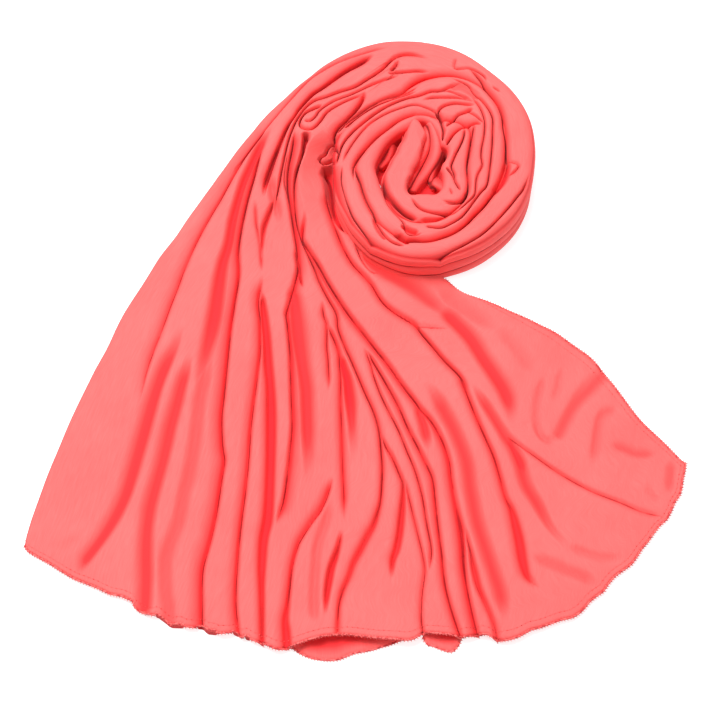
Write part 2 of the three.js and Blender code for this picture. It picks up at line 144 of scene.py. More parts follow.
# %% Creases of the fan, waist to hem
Crease = namedtuple("Crease", "name depth left right start end soft places")
FAN_CREASES = [
    Crease("first step", 5, 6, 12, 20, 60, 0, [
        (-76, 230), (-90, 208), (-100, 192), (-110, 172), (-120, 150), (-130, 130), (-141, 105),
        (-150, 80), (-155, 63), (-160, 47), (-168, 20), (-174, 1), (-179, -19), (-184, -50),
        (-186, -58)]),
    Crease("red valley", 7.5, 6, 11, 50, 18, 1, [
        (-148, 30), (-155, 6), (-163, -14, 1), (-168, -30, 1), (-173, -50, 2), (-177, -69, 2),
        (-182, -92, 2), (-186, -110, 2), (-191, -130, 1), (-199, -150, 1), (-210, -170), (-223, -190),
        (-226, -200)]),
    Crease("strong valley", 8, 7, 6, 30, 100, 1, [
        (-75, 226), (-85, 207), (-93, 187), (-100, 168), (-105, 148), (-109, 128, 1), (-112, 106, 1),
        (-117, 85, 2), (-120, 60, 4), (-122, 40, 5), (-125, 20, 5), (-129, 0, 4), (-132, -18, 3),
        (-134, -34, 2), (-137, -60, 1)]),
    Crease("left branch", 7, 5, 9, 30, 0, 1, [
        (-141, 2), (-143, -8), (-145, -18, 1), (-148, -30, 2), (-152, -50, 3), (-156, -69, 3),
        (-160, -92, 3), (-166, -120, 3), (-170, -140, 3), (-172, -160, 3), (-172, -180, 4),
        (-171, -200, 4), (-171, -226, 3)]),
    Crease("right branch", 5, 9, 9, 40, 0, 1, [
        (-126, 10), (-128, -18), (-132, -41), (-134, -64), (-136, -87), (-139, -110), (-143, -130),
        (-146, -150), (-149, -160), (-155, -180), (-156, -190), (-155, -210), (-152, -230),
        (-152, -244)]),
    Crease("first sharp", 8, 5, 14, 25, 0, 0, [
        (-80, 212), (-85, 200), (-91, 172), (-96, 150), (-101, 120), (-103, 98), (-102, 75), (-105, 49),
        (-108, 22), (-110, -7), (-112, -38), (-113.5, -60), (-112, -85), (-110, -98), (-112, -115),
        (-115.5, -145), (-120, -170), (-124.7, -190), (-125.6, -205), (-125, -225), (-124.5, -248)]),
    Crease("second sharp", 7, 5, 10, 20, 0, 0, [
        (-81, 75), (-84.6, 50), (-82.5, 30), (-82, 5), (-83, -10), (-85.5, -35), (-88.5, -67),
        (-90, -100), (-92.3, -130), (-94.4, -150), (-96, -170), (-97, -190), (-97.7, -210), (-97, -230),
        (-94, -252)]),
    Crease("deep valley", 8.9, 4, 7, 9, 0, 0, [
        (-82, 58), (-81, 48, 2.5), (-79, 32, 4), (-77, 15, 4.5), (-75, -10, 5), (-73, -30, 5),
        (-72, -50, 6), (-71.5, -75, 6), (-71.5, -100, 5.5), (-72, -130, 5.5), (-73, -150, 6),
        (-76, -168, 5), (-77, -190, 4), (-77, -205, 2.5), (-76.5, -220, 2), (-76, -240, 1.5),
        (-75.5, -256, 1)]),
    Crease("pocket left side", 4, 5, 6, 15, 15, 0, [
        (-90, 150), (-89, 140), (-88, 125), (-86, 115), (-84, 105), (-83, 90), (-82, 75)]),
    Crease("pocket right side", 7, 4, 5, 20, 15, 0, [
        (-72, 160), (-74, 145, 1), (-78, 132, 2), (-81, 122, 2), (-82.5, 110, 1), (-83, 92)]),
    Crease("third sharp", 8, 13, 5, 15, 20, 0, [
        (-55, 222), (-58, 200), (-61, 180), (-61, 160), (-58, 140), (-55, 120), (-52, 100), (-51, 82),
        (-53, 70), (-57, 53), (-60.7, 38), (-59.6, 30), (-57, 5), (-56, -14), (-55, -40), (-54, -66),
        (-55.6, -91), (-57, -107), (-60, -132), (-63.6, -146), (-66, -158)]),
    Crease("long band", 7.5, 7, 4, 10, 60, 1, [
        (-56, 66), (-54, 50, 5), (-52, 35, 7), (-51, 24, 8), (-49, 8, 7), (-46, -12, 5), (-43, -33, 5),
        (-42, -56, 4.5), (-41, -79, 4), (-40, -102, 3), (-40, -125, 2)]),
    Crease("band notch", 8, 3, 5, 6, 12, 0, [
        (-53, 101), (-52, 93, 1), (-50, 84, 2), (-48.5, 72, 1.5), (-46, 60)]),
    Crease("fork", 6, 5, 8, 15, 20, 0, [
        (-29, 52), (-28.6, 41), (-27, 33), (-25, 27), (-25, 6), (-24, -4), (-23, -24), (-23.4, -38)]),
    Crease("fork right", 7, 8, 8, 12, 25, 0, [
        (-26, 29), (-19, 14), (-14.5, 0), (-14, -10), (-13, -22), (-13, -45), (-12, -74), (-11, -107),
        (-10, -130), (-10, -155)]),
    Crease("fork pocket", 9, 5, 3, 8, 70, 1, [
        (-14, 0), (-11, -13, 1.5), (-8, -24, 3), (-6.5, -36, 4), (-5, -48, 4), (-4, -62, 3), (-3, -80, 3),
        (-2, -105, 2)]),
    Crease("low sharp", 8, 4, 9, 15, 0, 0, [
        (-19, -112), (-24, -130), (-29.7, -143), (-36, -152), (-45, -167), (-48, -174), (-52, -190),
        (-54, -210), (-55.5, -225, 1), (-57, -236, 2.5), (-56, -248, 4), (-55, -262, 4)]),
    Crease("low soft", 4, 6, 7, 20, 10, 1, [
        (-20, -130), (-25, -154), (-31, -172), (-33, -193), (-34, -222), (-33, -240)]),
    Crease("dark pocket", 8.5, 3, 4, 8, 22, 0, [
        (-11.6, -160), (-14.2, -173, 1.2), (-16.7, -182, 2.7), (-20, -192, 3.5), (-22, -203, 3.6),
        (-23.5, -214, 2.6), (-24.5, -226, 1), (-25, -236)]),
    Crease("inner curve", 7, 7, 7, 25, 0, 0, [
        (-48, 200), (-53, 180), (-55, 160), (-53, 130), (-48, 110), (-41, 93), (-35, 78), (-32, 69),
        (-25, 54), (-17, 38), (-15.4, 24), (-10, 8), (-3, -9), (8, -37), (15, -54), (19.4, -71),
        (21.4, -93), (22, -108), (20.6, -132), (18, -144, 1), (15, -154, 2), (10, -164, 2.5),
        (6, -172, 2.5), (2, -180, 2.5), (-2, -188, 2), (-6, -200, 1.5), (-11, -212, 1), (-14, -225),
        (-15, -246)]),
    Crease("split fold", 8, 4, 7, 15, 20, 0, [
        (20, -72), (25, -85), (30, -94), (36, -109), (39.5, -120, 0.5), (38.7, -137, 2),
        (37.5, -150, 2.8), (36, -163, 3), (33.5, -176, 3), (30, -187, 2), (29, -204, 1)]),
    Crease("split fold right", 5, 5, 7, 15, 0, 0, [
        (40, -112), (47, -145), (51, -163), (54.6, -180), (56.5, -195), (54, -214), (53, -234),
        (54.6, -250)]),
    Crease("twin fold left", 6, 5, 7, 12, 20, 0, [
        (7, 6), (12.8, -10), (15, -20), (21, -38), (28, -54), (36, -71), (43, -90), (49.4, -107),
        (55, -129), (58.6, -154), (62, -175), (61, -188), (58, -200)]),
    Crease("twin fold right", 8, 5, 9, 12, 0, 0, [
        (9, 3), (12.8, -3.5), (23, -22), (35.6, -47), (44, -68), (52.8, -87), (60, -103), (64.3, -115),
        (66, -133), (68, -156), (70.6, -180), (72.7, -205), (77.5, -227), (84.4, -250)]),
    Crease("long diagonal", 9, 5, 10, 25, 0, 0, [
        (-44, 140), (-47, 112), (-43, 103), (-33, 86), (-25, 70), (-16, 54), (-5.6, 37), (6, 20.6),
        (17.4, 4.5), (28, -10), (40, -29), (50.5, -44), (55, -51), (64, -62), (72.4, -78.5), (78, -97),
        (80, -115), (82, -130), (84.5, -145, 1), (87, -160, 2), (88, -175, 1.5), (88.5, -190, 1),
        (91, -211), (95, -233), (99, -252)]),
    Crease("diagonal pocket", 7, 4, 5, 8, 20, 1, [
        (51, -46), (55, -57, 2.5), (58, -68, 3), (60, -80, 2.5), (61, -92, 1)]),
    Crease("low fold", 7, 5, 6, 12, 0, 0, [
        (90, -156), (92, -168), (94.5, -180, 1), (95.5, -188, 2), (97.5, -198, 2.5), (100, -209, 2),
        (105, -222, 1.5), (111, -238, 1), (114, -256, 1)]),
    Crease("soft diagonal", 6.5, 9, 10, 30, 25, 1, [
        (57, -27), (66.6, -37), (76, -55.5), (85, -75), (93, -100), (96, -125), (101, -154), (110, -186),
        (118, -215), (121, -240)]),
    Crease("wide fold edge", 8, 6, 9, 20, 20, 0, [
        (-28, 165), (-25, 145), (-19, 125), (-12, 105), (-3, 87), (8, 74), (14, 66), (23, 50), (34.5, 39),
        (50.5, 28), (57, 19), (66.6, 6.5), (76, -6), (88.4, -20), (92, -28, 1.5), (95, -38), (101, -55.5),
        (108, -74), (116, -95), (122, -119.5), (125, -132), (128.5, -140, 1.5), (131, -150, 3),
        (133, -160, 4), (135, -172, 4.5), (137, -188, 4), (141, -201, 1.5), (152, -212)]),
    Crease("shade under the coil", 6.2, 9, 9, 12, 30, 1, [
        (4, 102), (14, 87, 1), (25, 78, 3), (38, 70, 3), (50, 62, 3), (61, 53, 2), (73, 43, 1),
        (87, 32)]),
    Crease("coil foot crease", 5, 7, 3, 4, 6, 0, [
        (1, 110), (1, 101), (4, 92), (9, 83), (14, 78), (21, 77)]),
    Crease("wing notch", 4, 4, 5, 6, 20, 0, [(49, 28), (54, 25, 1), (66, 24), (84, 22)]),
    Crease("wing line", 6.5, 6, 7, 25, 60, 1, [
        (99, -28), (111.4, -50), (120.6, -67), (126, -77, 1), (132, -86, 2.5), (137, -100, 2),
        (142, -120, 2), (150.3, -136, 1), (160.4, -157), (170.8, -171), (179, -185)]),
    Crease("wing crease", 4.6, 5, 7, 8, 12, 0, [
        (126, -75), (135.4, -83), (149.5, -94), (164.7, -106), (182, -117.7), (199, -127),
        (218.7, -135.4), (236, -143.5), (255, -149)]),
    Crease("wing triangle", 8, 6, 3, 6, 14, 1, [
        (127, -77), (131, -86, 1), (134.5, -94, 2), (138, -104, 2), (141, -116)]),
    Crease("wing band", 7.5, 12, 10, 20, 30, 1, [
        (69, 47), (87, 28), (99, 13), (109, -5), (118.5, -21), (126.5, -36), (130.5, -51), (131.5, -68)]),
    Crease("wrinkle 1", 3.8, 5, 5, 12, 4, 1, [
        (161, -21), (156, -36), (153.5, -48), (152.5, -62.6), (154.7, -74.7), (161, -80.8), (168, -80)]),
    Crease("wrinkle 1 right", 5.6, 8, 7, 3, 8, 1, [
        (213, -18, 2), (206, -25, 3), (199, -33, 3), (191, -41, 2), (184, -50.5), (176.5, -64),
        (170.4, -76), (165, -80)]),
    Crease("wing top shade", 4, 13, 12, 15, 25, 1, [(70, 62), (82, 52), (97, 40), (112, 30), (128, 22)]),
    Crease("wrinkle 2", 3, 5, 5, 10, 12, 1, [(176, -13), (172, -33), (166, -48)]),
    Crease("wrinkle 3", 4.4, 9, 4, 10, 15, 1, [
        (223, -53), (212, -53.4), (206, -59), (203, -70), (200, -87), (197.5, -103.5)]),
    Crease("wrinkle 4", 5.2, 6, 6, 10, 12, 1, [(213, -83), (226, -88.7), (236.7, -92.8), (254, -93)]),
    Crease("wrinkle 5", 5, 4, 7, 8, 12, 1, [(265, -98), (263.2, -113), (260, -131)]),
    Crease("wrinkle 6", 3, 4, 4, 10, 8, 1, [(239.6, -117.7), (245.7, -128), (253, -139)]),
    Crease("wrinkle 7", 4.4, 8, 7, 15, 15, 1, [
        (142, -182), (154, -187), (164, -191), (172, -195), (185, -200), (199, -209)]),
    Crease("wrinkle 8", 3.4, 5, 7, 12, 12, 1, [(173, -173.6), (188, -179.4), (203, -184), (219, -183.5)]),
    Crease("wrinkle 9", 3.2, 10, 10, 20, 20, 1, [(120, 28), (136, 8), (147, -10), (156, -22)]),
    Crease("panel wrinkle", 2, 8, 8, 10, 12, 1, [(-250, -178), (-236, -172), (-222, -167)]),
]
print(len(FAN_CREASES), "creases on the fan")

# %% [markdown]
# ## The creases of the neck
#
# In the neck the same pleats are pressed together and lap over each other like tiles. They run on round the
# north of the coil. The lobe and the knot are cloth that was pushed back on itself. `GAP_LINE` is the dark
# gap where the neck passes the coil: it is far deeper than a crease, so that the two read as separate
# stretches.

# %% Creases of the neck, from the fan up and round the north of the coil
NECK_LOW_CREASES = [
    Crease("neck soft", 5, 7, 7, 25, 15, 1, [(-66, 120), (-70, 140), (-74, 158), (-74, 175)]),
]
NECK_TOP_CREASES = [
    Crease("pale step", 4, 8, 5, 10, 20, 0, [
        (-110, 159), (-100, 175), (-90, 191), (-80, 206), (-71, 219), (-60, 234), (-42, 256.5),
        (-30, 266), (-18, 274), (-6.6, 279.5), (5, 284), (18, 288), (32, 290)]),
    Crease("north valley", 9, 7, 5, 25, 15, 0, [
        (-81, 134, 1), (-79, 151, 3), (-74.6, 168, 3), (-69.3, 185, 2), (-61.2, 208, 1), (-55, 219),
        (-50, 228, 1), (-39, 242, 2), (-31, 248, 2), (-17, 260, 2.5), (-8, 267, 3), (0, 272, 3.5),
        (8, 277, 3), (17, 283, 1)]),
    Crease("long line", 7, 4, 6, 20, 22, 0, [
        (-70.5, 122), (-70, 134), (-66.5, 155), (-65, 166), (-60, 193.6), (-54, 213), (-47, 225.6),
        (-38, 234.7), (-27, 239), (-15.5, 244), (-0.9, 249.5), (9.6, 257), (18.6, 263.5), (25.3, 269.6),
        (30, 275.4), (36, 280.6), (43.5, 283), (51.7, 282.8), (60, 280), (68, 277)]),
    Crease("lobe", 8, 5, 3, 5, 20, 0, [
        (-29.6, 230), (-38, 226.4), (-45.8, 221.6), (-50, 214), (-49, 207.6), (-42.5, 205), (-37, 207),
        (-31.3, 214), (-25.8, 222.7), (-15.4, 230.4), (-4, 236.5), (11, 242.4)]),
    Crease("lobe inner", 5, 3, 4, 4, 15, 0, [
        (-47, 214), (-40.7, 214), (-36, 218.4), (-31.4, 225.6), (-19, 234.7), (-4, 241.3), (11, 249.5),
        (21.5, 254.5), (31, 258), (41, 261)]),
    Crease("knot shadow", 13, 4, 5, 3, 70, 0, [
        (-45, 203, 2.5), (-44.3, 197, 4), (-46, 190.3, 2), (-47, 183, 1), (-50.8, 168), (-53.6, 151),
        (-54, 134), (-53, 118)]),
    Crease("left thread", 4, 5, 5, 12, 15, 0, [
        (-59, 185), (-62, 168), (-62.6, 151), (-58.3, 134), (-54.4, 118)]),
    Crease("notch", 9, 4, 7, 6, 12, 0, [
        (8, 244), (5.3, 234.7, 1), (-0.4, 225, 1.5), (-8.8, 215, 1), (-16.3, 206.5, 1), (-19, 198),
        (-16.8, 188), (-14.5, 180.7), (-15.2, 174)]),
    Crease("knot curl", 7, 3, 3, 4, 4, 0, [
        (-15.7, 184), (-18.7, 188.8), (-24.2, 185.8), (-26.8, 179), (-32, 175), (-29, 169.7),
        (-21.7, 171.8), (-16.7, 177.3)]),
    Crease("long two", 6, 5, 6, 8, 12, 0, [
        (-11.6, 204.3), (-4, 213), (7, 222.7), (22, 232.5), (37.3, 239), (48.7, 242.4), (56.2, 243.5)]),
    Crease("pocket foot", 6.5, 3, 4, 5, 12, 0, [
        (28, 263), (35, 263.6, 0.6), (41, 264), (48, 264.8), (57.5, 265.3), (67, 264)]),
    Crease("top pocket", 6, 3, 5, 5, 4, 0, [(30, 264), (33, 267.5, 0.8), (35.5, 271, 1), (38.4, 277)]),
]
GAP_LINE = Crease("gap beside the coil", 34, 14, 8, 8, 20, 0, [
    (-29.6, 183.3, 1), (-26.8, 178, 1.5), (-23.3, 170, 2), (-21.5, 157.5, 2), (-20, 142.6, 2),
    (-16.5, 132, 1.5), (-9, 121, 1), (0, 111)])
print(len(NECK_LOW_CREASES) + len(NECK_TOP_CREASES), "creases on the neck")

# %% [markdown]
# ## The creases of the coil
#
# The band of the coil is gathered cloth too, and its creases run round with it. So they are given as an
# angle in degrees and a radius in millimetres from the middle of the coil, which shows at a glance how a
# crease spirals in.

# %% Creases of the coil, as angle and radius
COIL_CREASES = [
    Crease("i", 7, 5, 5, 10, 15, 0, [
        (160, 86), (150, 83), (142, 80), (130, 78), (118, 77), (105, 76.5), (98, 78), (94, 83)]),
    Crease("h", 7, 4, 5, 10, 15, 0, [
        (180, 80), (165, 77), (155, 74), (145, 71), (130, 69), (118, 69), (105, 70), (95, 71), (87, 75),
        (80, 77), (74, 84), (68, 92)]),
    Crease("j", 4, 4, 4, 15, 8, 0, [
        (180, 74), (170, 71), (155, 67), (140, 65), (125, 63), (110, 62), (100, 62), (92, 59), (85, 56),
        (78, 52), (74, 44), (71, 39)]),
    Crease("k", 5, 4, 4, 15, 15, 0, [
        (195, 66), (180, 64), (165, 58), (155, 54), (145, 52), (135, 51), (120, 52), (105, 53),
        (97, 55)]),
    Crease("m", 6, 4, 4, 12, 12, 0, [(94, 65), (87, 68), (79, 70), (65, 75), (55, 77)]),
    Crease("m upper", 5, 4, 4, 8, 8, 0, [(90, 74), (80, 77), (74, 78), (67, 77), (58, 78)]),
    Crease("n", 8, 4, 3, 6, 6, 0, [
        (84, 56), (80, 53), (74, 48, 0.6), (71, 42, 0.4), (67, 38, 0.6), (63, 31), (60, 27)]),
    Crease("o", 7, 3, 4, 4, 8, 0, [
        (72, 46), (75, 50, 0.6), (79, 55), (77, 60), (73, 64), (67, 68), (60, 71), (54, 75)]),
    Crease("p", 7, 4, 4, 6, 5, 0, [(67, 41), (64, 49), (61, 58), (57, 64, 0.5), (54, 71, 1.2)]),
    Crease("p right", 5, 3, 3, 4, 6, 0, [(57, 65), (50, 66), (43, 66), (39, 66)]),
    Crease("q", 8, 3, 7, 5, 5, 0, [(40, 64), (44, 61), (48, 54), (51, 48), (53, 40), (52, 32), (50, 26)]),
    Crease("r1", 6, 4, 5, 12, 0, 0, [
        (76, 92), (66, 90), (60, 85), (50, 81), (40, 76), (30, 67), (20, 61), (10, 57), (0, 55),
        (-20, 55), (-30, 53), (-40, 53), (-50, 55), (-60, 58), (-70, 60), (-80, 62), (-90, 60)]),
    Crease("r2", 5, 4, 4, 8, 12, 0, [
        (60, 80), (56, 78), (49, 74), (40, 67), (30, 58), (20, 51), (10, 48), (0, 48), (-10, 45),
        (-20, 45), (-30, 48), (-37, 50), (-55, 50), (-65, 52)]),
    Crease("south valley", 5, 2.5, 2.5, 6, 6, 1, [
        (-68, 52), (-76, 53), (-83, 53.5, 0.4), (-90, 53), (-98, 54)]),
    Crease("r3", 6, 4, 4, 8, 8, 0, [
        (46, 60), (44, 58), (38, 51), (30, 44), (20, 39), (10, 36), (0, 35), (-10, 36), (-20, 38),
        (-30, 41), (-40, 44), (-50, 45), (-60, 43), (-70, 40)]),
    Crease("r4", 6, 4, 4, 8, 6, 0, [
        (49, 52), (42, 44), (35, 36), (25, 28), (15, 24), (0, 21), (-10, 22), (-20, 25), (-30, 27),
        (-36, 31), (-42, 39)]),
    Crease("band inside", 7, 5, 6, 15, 0, 0, [
        (70, 108), (61, 100), (56, 95), (45, 89), (37, 84), (30, 78), (23, 75), (15, 72, 0.5), (8, 70, 1),
        (0, 69.5, 1.8), (-8, 68, 2.4), (-15, 66.5, 2), (-22, 64, 1), (-30, 62), (-40, 62), (-50, 62),
        (-60, 65), (-70, 68), (-80, 70), (-90, 73), (-100, 73, 1), (-106, 76, 2.5), (-112, 73, 1)]),
    Crease("band pocket", 8, 3, 4, 5, 5, 1, [
        (5, 70), (0, 69.5, 1.5), (-8, 68.3, 2.5), (-15, 66.5, 2.2), (-22, 64, 1), (-27, 62.5)]),
    Crease("north shade", 4.5, 5, 5, 6, 8, 1, [
        (76, 80.6, 1), (68, 85.9, 2), (60, 84.1, 2), (53, 80.0, 0)]),
    Crease("thin notch", 4, 3, 3, 4, 10, 0, [(76, 113), (75, 102), (68, 106), (60, 104), (57, 98)]),
    Crease("small crease", 3, 3, 3, 4, 4, 0, [(54, 99), (51, 99), (48, 99)]),
    Crease("lip", 4, 4, 3, 4, 4, 0, [(4, 70), (2, 75), (0, 80), (-5, 76), (-9, 70)]),
    Crease("loop notch", 3, 3, 3, 4, 4, 0, [(-50, 29), (-52, 33), (-55, 37)]),
    Crease("top layer", 6, 5, 5, 20, 10, 0, [
        (-4, 90), (-15, 86), (-22, 83), (-30, 81), (-45, 80), (-55, 81), (-65, 82), (-75, 84), (-85, 88),
        (-95, 91), (-105, 92), (-116, 90), (-125, 87), (-140, 82), (-150, 79), (-160, 77), (-170, 76),
        (-180, 74)]),
    Crease("turned corner", 6, 3, 3, 4, 4, 1, [
        (-133, 68), (-128, 72.7, 0.8), (-123, 77, 0.6), (-116, 82)]),
    Crease("red pocket", 7.5, 3, 3, 3, 3, 1, [(-112, 71), (-107, 75, 1.4), (-102, 79)]),
    Crease("upper red pocket", 7, 3, 3, 3, 3, 1, [(-112, 63), (-104, 66, 1), (-97, 66.6)]),
    Crease("s1", 6, 4, 4, 8, 10, 0, [
        (-104, 82), (-113, 81), (-120, 77), (-128, 71), (-135, 66), (-145, 63), (-155, 61), (-165, 60),
        (-175, 62), (-180, 63)]),
    Crease("s6", 5, 4, 4, 8, 12, 0, [
        (-94, 67), (-97, 68), (-105, 69), (-110, 61), (-115, 57), (-125, 53), (-135, 50), (-145, 46),
        (-156, 44)]),
    Crease("south-west valley", 9, 4, 4, 5, 8, 0, [
        (175, 37, 1), (-172, 39, 1.6), (-163, 41, 2), (-145, 44, 2), (-128, 47, 2), (-113, 51, 1.5),
        (-99, 54, 0.5)]),
    Crease("south line", 7, 4, 4, 12, 12, 0, [
        (-116, 34), (-105, 40), (-96, 44), (-84, 47), (-71, 50), (-64, 51), (-54, 51)]),
    Crease("south curl", 4, 3, 3, 5, 8, 0, [(-36, 41), (-45, 45), (-52, 45), (-58, 43), (-72, 37)]),
    Crease("east curl", 5, 2, 3, 4, 4, 0, [(-6, 16, 0.5), (-18, 21, 1), (-28, 26, 0.5), (-36, 29)]),
]
print(len(COIL_CREASES), "creases on the coil")

# %% [markdown]
# ## Outlines and rails
#
# The fan and neck are one stretch of cloth, so they are one grid. Rails run along the folds through seven
# stations, from the north of the coil to the hem. A few rails are enough for the flow of the cloth, and the
# measured outline later pulls the outer rails and the hem into place.

# %% Outlines and rails
OUTLINE_TOP = [
    (44, 295.5), (34, 296), (22, 294), (10.6, 290), (-1, 286), (-12, 280), (-21.6, 275), (-36.5, 263),
    (-50, 250), (-64, 233.5), (-75.5, 222), (-90, 202.5), (-100, 189)]
OUTLINE_LEFT = [
    (-110, 192), (-120, 175), (-130, 160), (-140, 143), (-150, 127), (-160, 108), (-170, 95), (-180, 75),
    (-189, 58), (-199.5, 39), (-207.5, 20), (-214, 1), (-220, -10), (-228, -30), (-236, -50), (-243, -69),
    (-249, -88), (-256.5, -110), (-262, -130), (-267, -148), (-270, -160), (-272, -174)]
OUTLINE_RIGHT = [
    (78, 69), (86, 61), (94, 55), (100, 53), (109, 50), (119.5, 45.5), (130, 40), (138, 36), (149, 31),
    (158.5, 25), (170, 19.5), (179, 12), (190, 3), (202, -7), (222, -36), (237, -60), (250, -75),
    (260.5, -86), (270, -98), (275.4, -102)]
OUTLINE_HEM = [
    (-272, -174), (-268.5, -179), (-260, -184), (-250, -189.5), (-240, -196), (-230, -202), (-220, -206),
    (-210, -210), (-200, -215), (-190, -217), (-181, -221), (-179, -227), (-170, -231), (-160, -234),
    (-154, -238.5), (-150, -242), (-131, -242.6), (-124, -243), (-120, -247), (-110, -248), (-100, -247),
    (-94, -250), (-85, -253), (-78, -255), (-72, -257), (-66.5, -260), (-62, -261), (-52, -258),
    (-46, -256), (-38, -253), (-27, -250), (-15, -248.5), (-4.5, -249), (8, -250.6), (17, -251.7),
    (33, -252.5), (40, -253.5), (46, -253), (54.6, -247), (62, -247.5), (71, -248.3), (79, -249),
    (84.4, -251), (91, -250), (100, -248.7), (106, -248.7), (112.6, -252.7), (117, -254), (124, -253),
    (131, -250.7), (141, -245), (149, -243), (157, -240), (165, -237), (175.5, -234.6), (181, -231),
    (185, -227), (189, -222), (195, -217), (201, -213), (205, -207), (211, -200), (218, -195),
    (225, -190), (229.5, -184), (234, -177), (240, -170), (245, -163), (250, -156.5), (256.5, -151),
    (260.5, -144), (264, -136), (269, -129), (271, -122), (272, -116), (274, -109), (275.4, -102)]

# Each rail: its places at the waist, the upper and lower third and the hem, and the crest heights there
RAILS = [
    ((-139, 156), (-203, 32), (-246, -65), (-272, -174), (6, 3, 2.5, 2)),
    ((-121, 152), (-157, 45), (-196, -68), (-220, -206), (11, 7, 4, 3)),
    ((-104, 150), (-128, 45), (-168, -72), (-180, -223), (15, 10, 8, 6)),
    ((-98, 149), (-115, 40), (-140, -78), (-152, -238), (16, 11, 9, 7)),
    ((-91, 148), (-105, 40), (-112, -84), (-125, -244), (16.5, 12, 10, 8)),
    ((-83, 147), (-80, 40), (-91, -88), (-99, -248), (17, 12, 10, 8)),
    ((-76, 147), (-73, 38), (-72, -88), (-84, -253), (17, 12, 10, 8)),
    ((-69, 147), (-58, 40), (-54, -86), (-66, -259), (17.5, 13, 11, 8)),
    ((-63, 147), (-44, 39), (-37, -88), (-50, -257), (18, 13, 11, 9)),
    ((-59, 147), (-28, 40), (-15, -88), (-30, -251), (18, 13, 11, 10)),
    ((-55, 147), (-22, 41), (20, -92), (-8, -249), (18, 13, 11, 10)),
    ((-51, 146), (-18, 41), (36, -92), (54, -247), (18, 13, 11, 9)),
    ((-48, 146), (-13, 40), (52, -80), (82, -249), (18, 13, 11, 9)),
    ((-44, 145), (-5, 38), (72, -72), (104, -248), (18, 13, 11, 8)),
    ((-6, 148), (43, 34), (113, -80), (152, -242), (9, 12, 10, 6)),
    ((12, 130), (64, 30), (132, -76), (204, -209), (9, 10, 8, 4)),
    ((30, 112), (98, 12), (172, -92), (257, -150), (8, 7, 6, 3)),
    ((54, 95), (124, 18), (196, -52), (270, -123), (6, 5, 4, 3)),
    ((78, 69), (144, 33), (210, -18), (275.4, -102), (3, 2, 2, 2)),
]
# Places and crest heights across the neck at the bend, the shoulder and the north, outside to inside
NECK_RAILS = [
    ((-112, 187), (-65, 250), (30, 313), (9, 21, 38)),
    ((-101, 192), (-55, 249), (31, 304), (15, 30, 43)),
    ((-86, 196), (-46, 244), (33, 294), (21, 36, 46)),
    ((-68, 196), (-36, 238), (36, 284), (28, 40, 47)),
    ((-57, 195), (-27, 233), (39, 274), (31, 43, 48)),
    ((-45, 194), (-17, 228), (42, 264), (31, 44, 48)),
    ((-8, 190), (0, 220), (44, 253), (12, 42, 48)),
]
# Where the rails' waist lies, as x, for each place across the neck
NECK_WAIST_X = (-139, -121, -104, -78, -62, -44, -6)
WAIST_RAIL = 14
WAIST_STATION = 3
print(len(RAILS), "rails on the fan,", len(NECK_RAILS), "on the neck")

# %% [markdown]
# ## Carving
#
# `carve` measures how far each place lies from each crease, and returns the drop there and the painted shade
# of the fold. A sharp crease falls like the side of a roll and ends in a narrow slit. A soft one is a shallow
# trough. A slit in real cloth is thinner than any grid, so the shader paints its shadow line: each place
# keeps its way to the nearest slit, less than zero on the right of it, and how strong the line is. A wide
# pocket keeps only a weak line.

# %% Carving
SLIT_HALF_WIDTH = {FAN_PLANE: 1.3, NECK_PLANE: 1.1, COIL_PLANE: 0.95}
# The way to a line where none is near, and the step of a crease's own line
FAR = 9.0
LINE_STEP = 3
# How much of a given pocket width counts, how much of that is flat, and how much reach is left at a faded end
POCKET_SHARE = 0.65
FLAT_BOTTOM = 0.6
FADED_REACH = 0.55


def fitted(creases, plane):
    """The creases as smooth lines on the table plane, with the half width of their slits."""
    out = []
    for c in creases:
        rows = rows_of(c.places)
        if plane == COIL_PLANE:
            rows = polar(rows)
        line = evenly(np.concatenate([on_sight(rows[:, :2], plane, 0), rows[:, 2:]], -1), LINE_STEP)
        out.append((c, line, SLIT_HALF_WIDTH[plane]))
    return out


def fade(distance, reach):
    """0 at the end of a crease, 1 from `reach` along it."""
    if not reach:
        return np.ones_like(distance)
    t = np.clip(distance / reach, 0, 1)
    return t * t * (3 - 2 * t)


print("slits are", [2 * v for v in SLIT_HALF_WIDTH.values()], "mm wide")

# %% The section of one crease
# A soft crease: how fast its trough rises, and its painted shade for a depth of 1
TROUGH_FALL = 2.2
SOFT_DARKNESS = 0.012
# A sharp crease: its slope, from which reach on it is gentle, and the depths of its side and its slit
SLOPE_POWER = 1.8
GENTLE_FROM = 5
GENTLE_OVER = 5
ROLL_DEPTH = 0.7
SLIT_DEPTH = 0.45
# Its painted shade: on the slope, more where that is gentle, in a pocket, and in the slit
BROAD_DARKNESS = 0.2
GENTLE_DARKNESS = 0.6
POCKET_DARKNESS = 0.85
SLIT_DARKNESS = 0.2
DARKEST_DEPTH = 9
# Its painted shadow line: from which depth it is full, and over which pocket width it fades, in a deep crease
# too
FULL_LINE_DEPTH = 5.5
LINE_POCKET = 1.6
DEEP_LINE_POCKET = 9


